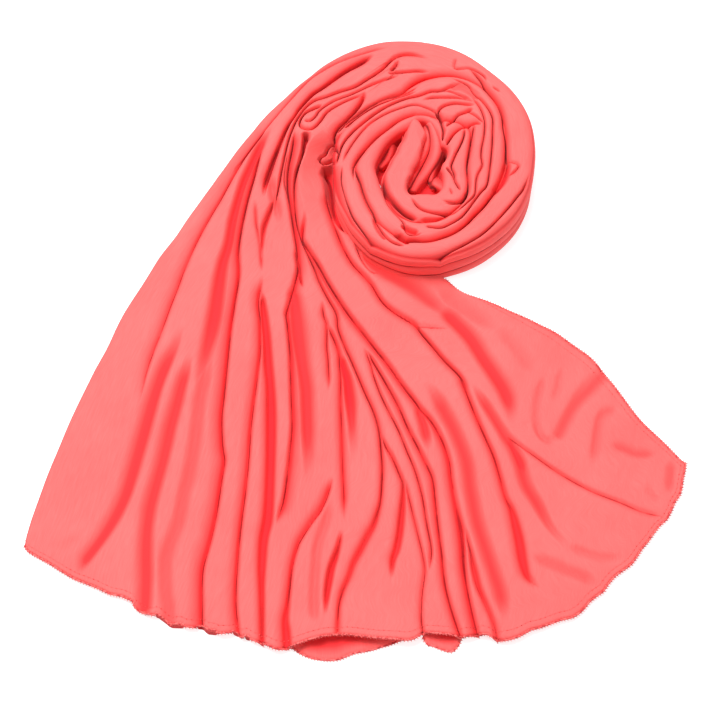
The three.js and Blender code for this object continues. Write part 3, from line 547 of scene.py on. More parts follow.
def crease_drop(c, line, slit_width, places):
    """The drop, the painted shade, and the way to and strength of the painted shadow line that one crease
    gives to each place.
    """
    a = line[:-1, :2]
    run = np.diff(line[:, :2], axis=0)
    length = np.hypot(*run.T)
    start = run_along(line)
    best = np.full(len(places), np.inf)
    side = np.zeros(len(places))
    at = np.zeros(len(places))
    for i in range(len(a)):
        v = places - a[i]
        t = np.clip(v @ run[i] / length[i] ** 2, 0, 1)
        off = v - t[:, None] * run[i]
        d = np.einsum("ij,ij->i", off, off)
        closer = d < best
        best = np.where(closer, d, best)
        cross = run[i][0] * v[:, 1] - run[i][1] * v[:, 0]
        side = np.where(closer, cross, side)
        at = np.where(closer, start[i] + t * length[i], at)
    width = np.interp(at, start, line[:, 2]) * (1 if c.soft else POCKET_SHARE)
    share = fade(at, c.start) * fade(start[-1] - at, c.end)
    reach = np.where(side > 0, c.left, c.right) * (FADED_REACH + (1 - FADED_REACH) * share)
    flat = 0.0 if c.soft else FLAT_BOTTOM * width
    beyond = np.maximum(0, np.sqrt(best) - flat)
    t = np.clip(beyond / (reach + width - flat), 0, 1)
    if c.soft:
        trough = np.exp(-TROUGH_FALL * t * t) * (1 - t * t)
        # Painted shade of a soft trough
        dark = SOFT_DARKNESS * c.depth ** 2 * trough
        return np.stack([c.depth * trough, dark, beyond, 0 * share], -1) * share[:, None]
    roll = 1 - np.sqrt(np.clip(1 - (1 - t) ** 2, 0, 1))
    slope = (1 - t) ** SLOPE_POWER
    gentle = np.clip((reach - GENTLE_FROM) / GENTLE_OVER, 0, 1)
    slit = np.exp(-(beyond / slit_width) ** 2)
    drop = c.depth * (ROLL_DEPTH * (roll + (slope - roll) * gentle) + SLIT_DEPTH * slit)
    # Painted shade of a sharp crease, and the way to its painted shadow line
    broad = np.maximum(BROAD_DARKNESS + GENTLE_DARKNESS * gentle, POCKET_DARKNESS * width / (width + 1))
    dark = min(1, c.depth / DARKEST_DEPTH) * (broad * slope + SLIT_DARKNESS * slit)
    pocket = DEEP_LINE_POCKET if c.depth >= DARKEST_DEPTH else LINE_POCKET
    line_share = min(1, c.depth / FULL_LINE_DEPTH) * np.exp(-width / pocket)
    shadow_way = np.where(side > 0, beyond, -beyond)
    return np.stack([drop * share, dark * share, shadow_way, line_share * share], -1)


print("a crease", DARKEST_DEPTH, "mm deep is darkest")

# %% All creases on one grid
# How much the shallower of two creases adds where they cross, and from which strength on a line counts
CROSSING_SHARE = 0.25
FAINTEST_LINE = 0.02


def carve(places, creases):
    """At each place of a grid: the drop, the painted shade, and the nearest painted shadow line's way,
    strength and number.
    """
    flat = places.reshape(-1, 2)
    total = np.zeros((len(flat), 5))
    total[:, 2] = FAR
    for number, (c, line, slit_width) in enumerate(creases):
        margin = max(c.left, c.right, 3 * slit_width) + line[:, 2].max() + 1
        low, high = line[:, :2].min(0) - margin, line[:, :2].max(0) + margin
        near = np.nonzero(((flat > low) & (flat < high)).all(1))[0]
        if len(near):
            here = crease_drop(c, line, slit_width, flat[near])
            before = total[near, :2]
            deeper, other = np.maximum(before, here[:, :2]), np.minimum(before, here[:, :2])
            total[near, :2] = deeper + CROSSING_SHARE * other * (1 - other / np.maximum(deeper, 1e-6))
            nearer = (np.abs(here[:, 2]) < np.abs(total[near, 2])) & (here[:, 3] > FAINTEST_LINE)
            total[near[nearer], 2:4] = here[nearer, 2:]
            total[near[nearer], 4] = number + 1
    return np.moveaxis(total.reshape(places.shape[:-1] + (5,)), -1, 0)


ALL_CREASES = (
    fitted(FAN_CREASES, FAN_PLANE)
    + fitted(NECK_LOW_CREASES + [GAP_LINE], FAN_PLANE)
    + fitted(NECK_TOP_CREASES, NECK_PLANE)
    + fitted(COIL_CREASES, COIL_PLANE)
)
print(len(ALL_CREASES), "creases in all")

# %% [markdown]
# ## The grid of the fan and the neck
#
# The rails give a first grid. Its columns lie close together where the cloth is pleated, because a crease
# needs several columns across, and wide apart on the smooth panels at both sides. Then its outer rows slide
# to the nearest place on the outline, and that slide fades out inwards, so no fold is bent sharply.

# %% Grid of the fan and neck, against the table
FAN_ROWS = 155
NECK_ROWS = 185
COLUMNS_PER_MM = 1.22
PLAIN_COLUMNS_PER_MM = 0.45
PLEATED_RAILS = (1, 14)
LEAST_COLUMNS = 6


def on_table(line, plane=FAN_PLANE):
    """Places that are read on a plane, slid to the table."""
    return on_sight(np.array(line, float), plane, 0)


rails = np.array([r[:4] for r in RAILS], float)
crests = np.array([r[4] for r in RAILS], float)
hem_gaps = np.hypot(*np.diff(rails[:, 3], axis=0).T)
pleated = (np.arange(len(hem_gaps)) >= PLEATED_RAILS[0]) & (np.arange(len(hem_gaps)) <= PLEATED_RAILS[1])
per_mm = np.where(pleated, COLUMNS_PER_MM, PLAIN_COLUMNS_PER_MM)
column_counts = np.maximum(LEAST_COLUMNS, np.round(hem_gaps * per_mm)).astype(int)
column_at = np.concatenate([i + np.arange(n) / n for i, n in enumerate(column_counts)] + [[len(RAILS) - 1]])
neck_columns = int(column_counts[:WAIST_RAIL].sum()) + 1
print(len(column_at), "columns on the fan,", neck_columns, "of them run on into the neck")

# %% Rails through all stations
neck_rails = np.array([r[:3] for r in NECK_RAILS], float)
neck_crests = np.array([r[3] for r in NECK_RAILS], float)
fold_at = np.interp(rails[:WAIST_RAIL + 1, 0, 0], NECK_WAIST_X, np.arange(len(NECK_RAILS)))
neck_at_rails = smooth(neck_rails, fold_at)[:, ::-1]
neck_crests_at_rails = smooth(neck_crests, fold_at)[:, ::-1]

long_rails = on_table(np.concatenate([neck_at_rails, rails[:WAIST_RAIL + 1]], 1))
long_crests = np.concatenate([neck_crests_at_rails, crests[:WAIST_RAIL + 1]], 1)
short_rails = on_table(rails[WAIST_RAIL:])
short_crests = crests[WAIST_RAIL:]
print(long_rails.shape[0], "rails with", long_rails.shape[1], "stations,", len(short_rails), "with 4")

# %% The first grid
neck_stations = np.linspace(0, WAIST_STATION, NECK_ROWS)
fan_stations = np.linspace(0, 3, FAN_ROWS)
along_long = np.concatenate([neck_stations, WAIST_STATION + fan_stations[1:]])
long_grid = np.moveaxis(smooth(np.moveaxis(long_rails, 1, 0), along_long), 0, 1)
long_height = smooth(long_crests.T, along_long).T
short_grid = np.moveaxis(smooth(np.moveaxis(short_rails, 1, 0), fan_stations), 0, 1)
short_height = smooth(short_crests.T, fan_stations).T

neck_part = column_at[:neck_columns]
body_grid = smooth(long_grid, neck_part)
body_height = smooth(long_height, neck_part)
fan_rails = np.concatenate([long_grid[:, NECK_ROWS - 1:], short_grid[1:]])
fan_heights = np.concatenate([long_height[:, NECK_ROWS - 1:], short_height[1:]])
fan_grid = smooth(fan_rails, column_at)
fan_height = smooth(fan_heights, column_at)
fan_grid[:neck_columns] = body_grid[:, NECK_ROWS - 1:]
fan_height[:neck_columns] = body_height[:, NECK_ROWS - 1:]
neck_grid = body_grid[:, :NECK_ROWS]
neck_height = body_height[:, :NECK_ROWS]
print("fan grid", fan_grid.shape[:2], "neck grid", neck_grid.shape[:2])

# %% Onto the outline
LEFT_PULL_COLUMNS = 60
RIGHT_PULL_COLUMNS = 50
HEM_PULL_ROWS = 45
OUTLINE_STEP = 2


def nearest(places, outline):
    """The nearest place on a line for each place."""
    a, b = outline[:-1], outline[1:]
    run = b - a
    v = places[:, None] - a[None]
    t = np.clip((v * run).sum(-1) / (run * run).sum(-1), 0, 1)
    foot = a + t[..., None] * run
    pick = np.hypot(*np.moveaxis(places[:, None] - foot, -1, 0)).argmin(1)
    return foot[np.arange(len(places)), pick]


def pull_side(grid, outline, columns, first):
    """Slides the first or last column of a grid onto the outline, and its neighbours less and less."""
    edge = 0 if first else -1
    slide = nearest(grid[edge], outline) - grid[edge]
    weight = np.clip(1 - np.arange(len(grid)) / columns, 0, 1) ** 2
    weight = weight if first else weight[::-1]
    grid += weight[:, None, None] * slide[None]


def softened(outline, span):
    """An outline at an even step, with each inner place the mean of the `span` places round it."""
    line = evenly(outline, OUTLINE_STEP)
    mean = np.stack([np.convolve(line[:, k], np.ones(span) / span, "valid") for k in (0, 1)], -1)
    line[span // 2:-(span // 2)] = mean
    return line


left_outline = softened(np.concatenate([on_table(OUTLINE_TOP, NECK_PLANE), on_table(OUTLINE_LEFT)]), 13)
right_outline = softened(on_table(OUTLINE_RIGHT), 9)
pull_side(neck_grid, left_outline, LEFT_PULL_COLUMNS, True)
pull_side(fan_grid, left_outline, LEFT_PULL_COLUMNS, True)
pull_side(fan_grid, right_outline, RIGHT_PULL_COLUMNS, False)
hem_slide = nearest(fan_grid[:, -1], on_table(OUTLINE_HEM)) - fan_grid[:, -1]
hem_weight = np.clip(1 - np.arange(FAN_ROWS)[::-1] / HEM_PULL_ROWS, 0, 1) ** 2
fan_grid += hem_weight[None, :, None] * hem_slide[:, None]
print("the hem slid by", round(float(np.hypot(*hem_slide.T).max()), 1), "mm at most")

# %% [markdown]
# ## From grid to cloth
#
# Each grid is lifted to its crest height along the line of sight, and the creases drop straight down from
# there, so a fold stays where it was read. A crease never goes below the cloth's floor: it flattens towards
# it instead. A low unevenness keeps the broad folds from looking moulded. Each point also keeps how deep in
# a fold it lies, for a painted shade: red jersey glows in its folds, where light goes from cloth to cloth
# and takes up more colour, and the material paints that light as a deeper red.

# %% Unevenness and height
CLOTH_FLOOR = 1.2
LEAST_ROOM = 0.1
# The unevenness: how many waves, what their sum is divided by, and the crest height that has all of it
WAVES = 7
WAVES_SUM = 2.6
UNEVEN_FROM = 8
# The length and height of the waves on crests, and of those in the strength of the painted shadow lines
CREST_WAVE = 45
CREST_WANDER = 0.4
LINE_WAVE = 30
LINE_WANDER = 0.3
LINE_MEAN = 0.9
# The painted shade of a rounded border, and the drop that it is so dark at
BORDER_DARKNESS = 0.8
BORDER_DROP = 9


def unevenness(places, seed, size, amount):
    """A smooth wander, made of a few waves in different directions."""
    rng = np.random.default_rng(seed)
    total = np.zeros(places.shape[:-1])
    for _ in range(WAVES):
        turn = rng.uniform(0, math.pi)
        wave = rng.uniform(0.7, 1.6) * 2 * math.pi / size
        total += np.sin(wave * (places @ [math.cos(turn), math.sin(turn)]) + rng.uniform(0, 6.3))
    return amount * total / WAVES_SUM


def lifted(grid, crest, floor=CLOTH_FLOOR, seed=1, extra=0.0, creases=ALL_CREASES):
    """Places of a cloth grid in mm, with the painted fold shade and the nearest painted shadow line's way,
    strength and number.
    """
    crest = crest + unevenness(grid, seed, CREST_WAVE, CREST_WANDER) * np.minimum(1, crest / UNEVEN_FROM)
    drop, dark, shadow_way, strength, number = carve(grid, creases)
    room = np.maximum(crest - floor, LEAST_ROOM)
    fall = room * np.tanh((drop + extra) / room)
    # Painted fold shade, with more of it on a rounded border
    fold = np.clip(dark + BORDER_DARKNESS * (np.asarray(extra) / BORDER_DROP) ** 2, 0, 1)
    strength = strength * np.clip(LINE_MEAN + unevenness(grid, seed + 50, LINE_WAVE, LINE_WANDER), 0.3, 1)
    rest = np.stack([crest - fall, fold, shadow_way, strength, number], -1)
    return np.concatenate([on_sight(grid, 0, crest), rest], -1)


print("crests wander by", CREST_WANDER, "mm over about", CREST_WAVE, "mm")

# %% [markdown]
# ## The mesh of a piece
#
# A grid becomes a mesh with one quad for each of its cells. The UV holds metres of cloth, measured along and
# across the grid, so the weave keeps its size where the cloth is stretched out and where it is gathered. The
# painted fold shade and the way to the nearest painted shadow line are kept as attributes for the material.
# Each piece rides on the one body of this model and stands for the solid of the same stretch.

# %% One cloth piece from a grid
def cloth_object(name, node, grid, flip=False):
    """One cloth piece from a grid of places in millimetres, with a UV in metres of cloth."""
    columns, rows = grid.shape[:2]
    co = (grid[..., :3].reshape(-1, 3) + [DRAWING_SHIFT[0], DRAWING_SHIFT[1], 0]) * MM
    index = np.arange(columns * rows).reshape(columns, rows)
    a, b, c, d = index[:-1, :-1], index[1:, :-1], index[1:, 1:], index[:-1, 1:]
    quads = np.stack([a, d, c, b] if flip else [a, b, c, d], -1).reshape(-1, 4)
    mesh = bpy.data.meshes.new(name)
    mesh.from_pydata(co.tolist(), [], quads.tolist())
    along = np.linalg.norm(np.diff(grid[..., :3], axis=1), axis=-1)
    along = np.concatenate([np.zeros((columns, 1)), np.cumsum(along, 1)], 1)
    across = np.linalg.norm(np.diff(grid[..., :3], axis=0), axis=-1)
    across = np.concatenate([np.zeros((1, rows)), np.cumsum(across, 0)], 0)
    uv = np.stack([across, along], -1).reshape(-1, 2) * MM
    layer = mesh.uv_layers.new(name="cloth")
    corner = np.empty(len(mesh.loops), np.int32)
    mesh.loops.foreach_get("vertex_index", corner)
    layer.uv.foreach_set("vector", uv[corner].astype(np.float32).ravel())
    # The painted fold shade and the strength of the painted shadow line, for the material
    for key, column in (("fold", 3), ("strength", 5)):
        kept = mesh.attributes.new(key, "FLOAT", "POINT")
        kept.data.foreach_set("value", grid[..., column].astype(np.float32).ravel())
    # A face between two lines takes the way without its sign, or a false line would show in its middle
    numbers = grid[..., 6].ravel()[quads]
    one_line = (numbers == numbers[:, :1]).all(1)
    shadow_way = grid[..., 4].ravel()[quads]
    shadow_way = np.where(one_line[:, None], shadow_way, np.abs(shadow_way))
    mesh.attributes.new("shadow_way", "FLOAT", "CORNER").data.foreach_set("value", shadow_way.astype(np.float32).ravel())
    mesh.polygons.foreach_set("use_smooth", np.ones(len(mesh.polygons), bool))
    mesh.update()
    piece = bpy.data.objects.new(name, mesh)
    bpy.context.collection.objects.link(piece)
    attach(piece, "root")
    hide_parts(node)
    area = sum(p.area for p in mesh.polygons)
    print(name, len(mesh.polygons), "faces,", round(area, 4), "m2, z to", round(grid[..., 2].max(), 1), "mm")
    return piece


# %% [markdown]
# ## Walls
#
# The real shawl has many layers under the one that shows. Instead of all of them, a wall closes each stretch
# down to the table. Where a border stands high, as round the coil, the wall is rolled in three, because
# there the edges of the layers show one above the other, with painted shade between the rolls and a painted
# shadow line at each layer line. Elsewhere it is plain and turns in under the cloth, with painted shade that
# grows towards its foot.

# %% Rolled and plain walls
# The two layer lines as shares of the height, and how far and how often they wander up and down
LAYER_AT = (0.62, 0.28)
LAYER_WANDER = (0.05, 0.04)
LAYER_WAVES = (0.06, 0.09)
# How far a roll stands out, the height that has all of it, and its painted shade between two rolls
WALL_ROLL = 2.6
FULL_ROLL_HEIGHT = 20
ROLL_GAP_SHADE = 0.75


def rolled_wall(edge, outward, foot, wander, roll, levels=28):
    """Rows of a wall below a border, from the foot up, as rolled layers between the layer lines."""
    rows = []
    upper, lower = (
        at + far * np.sin(often * wander) for at, far, often in zip(LAYER_AT, LAYER_WANDER, LAYER_WAVES)
    )
    lines = np.stack([1.02 + 0 * wander, upper, lower, -0.02 + 0 * wander])
    tall = edge[:, 2] - foot
    rolled = np.minimum(1, tall / FULL_ROLL_HEIGHT)
    for level in np.linspace(0, 1, levels, endpoint=False):
        bulge = np.zeros(len(edge))
        for top, low in zip(lines[:-1], lines[1:]):
            s = (2 * level - top - low) / (top - low)
            bulge = np.maximum(bulge, np.where(np.abs(s) < 1, np.sqrt(np.clip(1 - s * s, 0, 1)), 0))
        # The way to the nearest layer line is a painted shadow line
        away = (level - lines) * tall
        pick = np.abs(away).argmin(0)
        shadow_way = away[pick, np.arange(len(edge))]
        x, y = (edge[:, :2] + outward * (roll * rolled * bulge)[:, None]).T
        # Painted shade between two rolls
        fold = ROLL_GAP_SHADE * (1 - bulge) ** 2
        rows.append(np.stack([x, y, foot + tall * level, fold, shadow_way, rolled, -1.0 - pick], -1))
    return np.stack(rows)


def straight_wall(edge, inward, foot, reach, levels, darkest=0.6):
    """Rows of a plain wall from a border down to its foot, which lies `reach` further in, with painted shade
    growing to `darkest` at the foot.
    """
    rows = []
    for level in np.linspace(0, 1, levels + 1)[1:]:
        row = edge.copy()
        row[:, :2] += inward * reach * math.sin(0.5 * math.pi * level)
        row[:, 2] += (foot - edge[:, 2]) * level
        # Painted shade that grows towards the foot
        row[:, 3] = np.maximum(row[:, 3], darkest * level)
        rows.append(row)
    return np.stack(rows)


print("layer lines at", LAYER_AT, "of a wall's height")

# %% Deep shadow and level directions
# How deep in a fold a shaded place counts, from which share on it has a line, and how close and strong that is
DEEP_SHADE = 0.9
DEEP_LINE_FROM = 0.3
DEEP_LINE_WAY = 0.35
DEEP_LINE_STRENGTH = 0.65


def darken(places, share):
    """Paints places as lying in deep shadow: full fold shade, close to a painted shadow line."""
    deep = share > DEEP_LINE_FROM
    places[..., 3] = np.maximum(places[..., 3], DEEP_SHADE * share)
    places[..., 4] = np.where(deep, DEEP_LINE_WAY, places[..., 4])
    places[..., 5] = np.where(deep, DEEP_LINE_STRENGTH * share, places[..., 5])


def level_normal(edge, inner):
    """The level direction from the inner row to the edge row."""
    away = edge[:, :2] - inner[:, :2]
    return away / np.maximum(np.linalg.norm(away, axis=-1, keepdims=True), 1e-6)


print("deep shadow counts as", DEEP_SHADE, "of a full fold")

# %% [markdown]
# ## The turns of the coil
#
# The cloth is wound in one go, so one spiral band runs from the north of the coil to the standing flap in
# the middle. Its inner and outer radius are read every 15 degrees or so. It has a rolled wall outside, a
# crown with its creases, and a wall down into the next groove. Each turn leans on the next. The band is
# split into pieces where the solids are. The wall that faces the neck is marked as lying in deep shadow, as
# that gap is.

# %% The turns, as rows of angle, inner radius and outer radius
OUTER_TURN = [
    (105, 78, 133.5), (97, 86, 130.5), (90, 91, 128), (75, 96, 122), (60, 95, 113.5), (45, 90, 108.5),
    (30, 80, 103), (15, 72, 96.5), (0, 68, 91.5), (-15, 64, 89.5), (-30, 62, 88), (-45, 62, 86.5),
    (-60, 65, 86), (-75, 69, 86.5), (-90, 72, 88), (-105, 74, 89), (-120, 71, 88), (-135, 67, 85.5),
    (-150, 63, 82), (-165, 61, 80.5)]
MIDDLE_TURN = [
    (180, 62, 80), (165, 57, 82), (150, 54, 82), (130, 51, 79), (105, 53, 78), (90, 52, 88), (75, 49, 95),
    (60, 52, 95), (45, 53, 90), (30, 45, 80), (15, 38, 72), (0, 35, 67), (-15, 36, 63.5), (-30, 41, 62),
    (-45, 45, 62), (-60, 48, 65), (-75, 51, 69), (-90, 54, 72), (-105, 55, 74), (-120, 53, 71),
    (-135, 48, 67), (-150, 45, 63), (-165, 44, 61)]
INNER_TURN = [
    (180, 45, 62), (165, 43, 57), (150, 42, 54), (130, 42, 51), (112, 42, 53), (104, 44.5, 53),
    (97, 47, 53), (90, 45, 52), (82, 39, 50), (75, 34, 49), (67, 29, 50), (60, 25, 52), (45, 25, 53),
    (30, 20, 45), (15, 14, 38), (0, 12, 35), (-15, 12, 36), (-30, 15, 41), (-45, 19, 45), (-60, 24, 48),
    (-75, 27, 51), (-90, 26, 54), (-105, 27, 55), (-118, 30, 53), (-128, 28, 50), (-138, 22, 47),
    (-150, 15, 43)]
FLAP_TURN = [
    (-165, 12, 39), (-180, 10, 33), (-195, 9, 30.5), (-210, 9, 29.5), (-225, 9.5, 32), (-237, 11, 35),
    (-248, 14, 43), (-256, 17, 50.5), (-259, 20, 50), (-262, 22, 46), (-264, 24, 42), (-268, 27, 36),
    (-270, 29, 33)]
SPIRAL = np.array(
    OUTER_TURN
    + [(a - 360, i, o) for a, i, o in MIDDLE_TURN]
    + [(a - 720, i, o) for a, i, o in INNER_TURN + FLAP_TURN], float)
# Crest height, foot of the outer wall and foot of the inner wall, by angle along the spiral
SPIRAL_HEIGHTS = np.array([
    (105, 47, 1, 18), (60, 47.5, 1, 18), (-180, 47.5, 2, 18), (-230, 47, 12, 18), (-540, 46.5, 14, 17),
    (-660, 45, 14, 16), (-700, 42, 14, 16), (-760, 42, 14, 16), (-885, 44, 12, 16), (-930, 46, 10, 16),
    (-975, 45, 10, 16), (-990, 42, 10, 16)], float)
print("the band turns", round((SPIRAL[0, 0] - SPIRAL[-1, 0]) / 360, 2), "times")

# %% The crown of the band
TURN_STEP = 0.75
CROWN_COLUMNS = 96
CROWN_FLOOR = 12
# How far in a border is rounded and how far it drops, outside and inside
EDGE_REACH = (8, 7)
EDGE_DROP = (6.5, 9)


def rounded(room, drop):
    """The drop of a rolled border: all of it at the very edge, and none from where the room is full."""
    return drop * (1 - np.sqrt(1 - (1 - room) ** 2))


angles = np.arange(SPIRAL[0, 0], SPIRAL[-1, 0] - 1e-6, -TURN_STEP)
row_at = np.interp(-angles, -SPIRAL[:, 0], np.arange(len(SPIRAL)))
inner_radius, outer_radius = smooth(SPIRAL[:, 1:], row_at).T
# Columns lie closer together near both borders, where the crown is round
across = np.linspace(0, 1, CROWN_COLUMNS)
across = 0.5 * across + 0.25 * (1 - np.cos(math.pi * across))
radius = outer_radius[:, None] + (inner_radius - outer_radius)[:, None] * across
turn = np.radians(angles)[:, None]
crown_seen = np.stack([COIL_CENTRE[0] + radius * np.cos(turn), COIL_CENTRE[1] + radius * np.sin(turn)], -1)
height_at = -SPIRAL_HEIGHTS[:, 0]
crest, outer_foot, inner_foot = (np.interp(-angles, height_at, SPIRAL_HEIGHTS[:, k]) for k in (1, 2, 3))
width = (outer_radius - inner_radius)[:, None]
room_out = np.clip(across * width / EDGE_REACH[0], 0, 1)
room_in = np.clip((1 - across) * width / EDGE_REACH[1], 0, 1)
rounding = rounded(room_out, EDGE_DROP[0]) + rounded(room_in, EDGE_DROP[1])
crown_grid = on_sight(crown_seen, COIL_PLANE, 0)
crown = lifted(crown_grid, crest[:, None] + 0 * radius, floor=CROWN_FLOOR, seed=11, extra=rounding)
print("crown of", crown.shape[0], "rows across and", crown.shape[1], "columns")

# %% The walls of the band, and its split into pieces
GAP_FROM = -160
GAP_TO = -250
# The wall into the groove with its painted shade, and the painted shadow line along its top, which comes from
# above and stops there
INSIDE_REACH = 1.0
INSIDE_WALL_LEVELS = 9
INSIDE_WALL_SHADE = 0.7
INSIDE_LINE_WAY = (1.2, -2.4)
INSIDE_LINE_STRENGTH = 0.5
INSIDE_LINE_NUMBER = -9

outward = np.concatenate([np.cos(turn), np.sin(turn)], 1)
spiral_wall = rolled_wall(crown[:, 0], outward, outer_foot, angles, WALL_ROLL)
in_gap = fade(GAP_FROM - angles, 15) * fade(angles - GAP_TO, 20)
darken(spiral_wall, in_gap + 0 * spiral_wall[..., 3])
spiral_inside = straight_wall(
    crown[:, -1], -outward, inner_foot, INSIDE_REACH, INSIDE_WALL_LEVELS, INSIDE_WALL_SHADE)
# A painted shadow line along the top of the wall into the groove
spiral_inside[..., 4] = np.maximum(0, np.linspace(*INSIDE_LINE_WAY, len(spiral_inside)))[:, None]
spiral_inside[..., 5] = INSIDE_LINE_STRENGTH
spiral_inside[..., 6] = INSIDE_LINE_NUMBER
spiral = np.concatenate([spiral_wall, np.swapaxes(crown, 0, 1), spiral_inside])


def stretch(first, last):
    """The part of the spiral between two angles, both ends included."""
    return spiral[:, np.searchsorted(-angles, -first):np.searchsorted(-angles, -last) + 1]


outer = cloth_object("outer_turn_cloth", "outer_turn", stretch(105, -180))
middle = cloth_object("middle_turn_cloth", "middle_turn", stretch(-180, -540))
inner = cloth_object("inner_turn_cloth", "inner_turn", stretch(-540, -885))
flap = cloth_object("flap_cloth", "centre_flap", stretch(-885, -990))

# %% [markdown]
# ## Fan and neck
#
# The cloth runs on from the neck into the coil, so the neck's north end takes over the first ring of the
# spiral. Its grid and heights are pulled onto that ring before the creases are carved, so each crease
# crosses the joint in one line. Beneath the coil the neck lies in deep shadow.

# %% The neck meets the coil
CREST_SCALE = 1.2
MEET_ROWS = 34
GAP_COLUMNS = 16
GAP_ROWS = 60

fan_places = lifted(fan_grid, fan_height * CREST_SCALE, seed=3)
ring_grid = crown_grid[0]
ring_run = run_along(ring_grid)
neck_run = run_along(neck_grid[:, 0])
ring_at = neck_run / neck_run[-1] * ring_run[-1]


def at_ring(columns):
    """Values of the spiral's first ring, read at the neck's own columns."""
    return np.stack([np.interp(ring_at, ring_run, column) for column in columns.T], -1)


pull = 1 - fade(np.arange(NECK_ROWS), MEET_ROWS)
neck_grid = neck_grid + pull[None, :, None] * (at_ring(ring_grid) - neck_grid[:, 0])[:, None]
neck_crest = neck_height * (1 + (CREST_SCALE - 1) * fade(np.arange(NECK_ROWS), NECK_ROWS - 1))
neck_crest = neck_crest + pull[None] * (crest[0] - neck_crest[:, :1])
neck_places = lifted(neck_grid, neck_crest, seed=3, extra=pull[None] * at_ring(rounding[:1].T))
neck_places[:, -1] = fan_places[:neck_columns, 0]
neck_places[..., :4] += pull[None, :, None] * (at_ring(crown[0, :, :4]) - neck_places[:, 0, :4])[:, None]

under_coil = fade(np.arange(neck_columns) - neck_columns + GAP_COLUMNS, GAP_COLUMNS)
below_bend = fade(np.arange(NECK_ROWS) - MEET_ROWS, GAP_ROWS)
darken(neck_places, under_coil[:, None] * below_bend)
print("the neck meets the coil", round(float(neck_places[:, 0, 2].max()), 1), "mm high")

# %% The walls of the neck
NECK_WALL_START = 105
# Millimetres along the neck for a degree round the coil, so the layer lines wander on at the same pace
DEGREE_RUN = 2.3
WALL_FADE_ROWS = 30
NECK_FOOT = 1.0
INNER_FOOT = 0.8
INNER_REACH = 0.5
INNER_LEVELS = 6

neck_edge = neck_places[0]
neck_out = level_normal(neck_places[0], neck_places[6])
neck_out[:4] = outward[0]
neck_wander = NECK_WALL_START + run_along(neck_edge) / DEGREE_RUN
neck_roll = WALL_ROLL * fade(NECK_ROWS - 1 - np.arange(NECK_ROWS), WALL_FADE_ROWS)
neck_wall = rolled_wall(neck_edge, neck_out, NECK_FOOT, neck_wander, neck_roll)
inner_out = level_normal(neck_places[-1], neck_places[-6])
neck_inside = straight_wall(neck_places[-1], inner_out, INNER_FOOT, INNER_REACH, INNER_LEVELS)
neck_whole = np.concatenate([neck_wall, neck_places, neck_inside])
neck = cloth_object("neck_cloth", "gathered_neck", neck_whole, flip=True)

# %% [markdown]
# ## The borders of the fan
#
# The long edges and the hem end in a narrow wall that turns in under the cloth, so the edge looks thin from
# any side. The hem is turned under in four short strips, where the front of a pleat is a little lower than
# its neighbours: there the edge is tucked back and a strip of the wall shows below it, dark with painted
# shade and a painted shadow line.

# %% The turned hem
TURNED_HEM = [(-164, -138), (-130, -111), (-101, -93), (-91, -84)]
TURN_FADE = 2.5
TUCK = 2.4
TUCK_ROWS = 12

hem_x = fan_places[:, -1, 0]
turned = sum(fade(hem_x - a, TURN_FADE) * fade(b - hem_x, TURN_FADE) for a, b in TURNED_HEM)[:, None]
tuck_back = TUCK * turned * level_normal(fan_places[:, -1], fan_places[:, -4])
fan_places[:, -TUCK_ROWS:, :2] -= tuck_back[:, None] * (np.linspace(0, 1, TUCK_ROWS) ** 2)[:, None]
print(len(TURNED_HEM), "turned strips,", sum(b - a for a, b in TURNED_HEM), "mm in all")

# %% The walls of the fan
LEFT_WALL_FADE_ROWS = 12
CLOTH_FOOT = 0.7
SIDE_REACH = 0.6
HEM_REACH = 3.0
HEM_LEVELS = 3
# How much further out the strip of a turned hem reaches, and the painted shadow line along it
TURNED_REACH = 1.6
TURNED_LINE_WAY = 0.45
TURNED_LINE_STRENGTH = 0.6

left_fade = fade(np.arange(FAN_ROWS), LEFT_WALL_FADE_ROWS)[:, None]
left_in = -level_normal(fan_places[0], fan_places[4]) * left_fade
right_in = -level_normal(fan_places[-1], fan_places[-5])
left_wall = straight_wall(fan_places[0], left_in, CLOTH_FOOT, SIDE_REACH, 3)[::-1]
right_wall = straight_wall(fan_places[-1], right_in, CLOTH_FOOT, SIDE_REACH, 2)
fan_whole = np.concatenate([left_wall, fan_places, right_wall])
hem_out = level_normal(fan_whole[:, -1], fan_whole[:, -4])
turned = np.pad(turned, ((len(left_wall), len(right_wall)), (0, 0)))
hem_in = hem_out * (TURNED_REACH * turned - 1)
hem_wall = straight_wall(fan_whole[:, -1], hem_in, CLOTH_FOOT, HEM_REACH, HEM_LEVELS)
# A painted shadow line along each turned strip
hem_wall[..., 4] = np.where(turned[:, 0] > 0.05, TURNED_LINE_WAY, hem_wall[..., 4])
hem_wall[..., 5] = np.maximum(hem_wall[..., 5], TURNED_LINE_STRENGTH * turned[:, 0])
fan_whole = np.concatenate([fan_whole, np.swapaxes(hem_wall, 0, 1)], 1)
fan = cloth_object("fan_cloth", "spread_end", fan_whole, flip=True)

# %% [markdown]
# ## The heart
#
# Deep in the middle lie the last wound layers, which nobody laid with care. Each is a roll that runs along
# its own path and sinks as it goes, and the cloth is the top of all rolls together. Where two rolls meet
# there is a fold line, painted as a shadow line. The deeper a roll lies, the redder its painted shade.

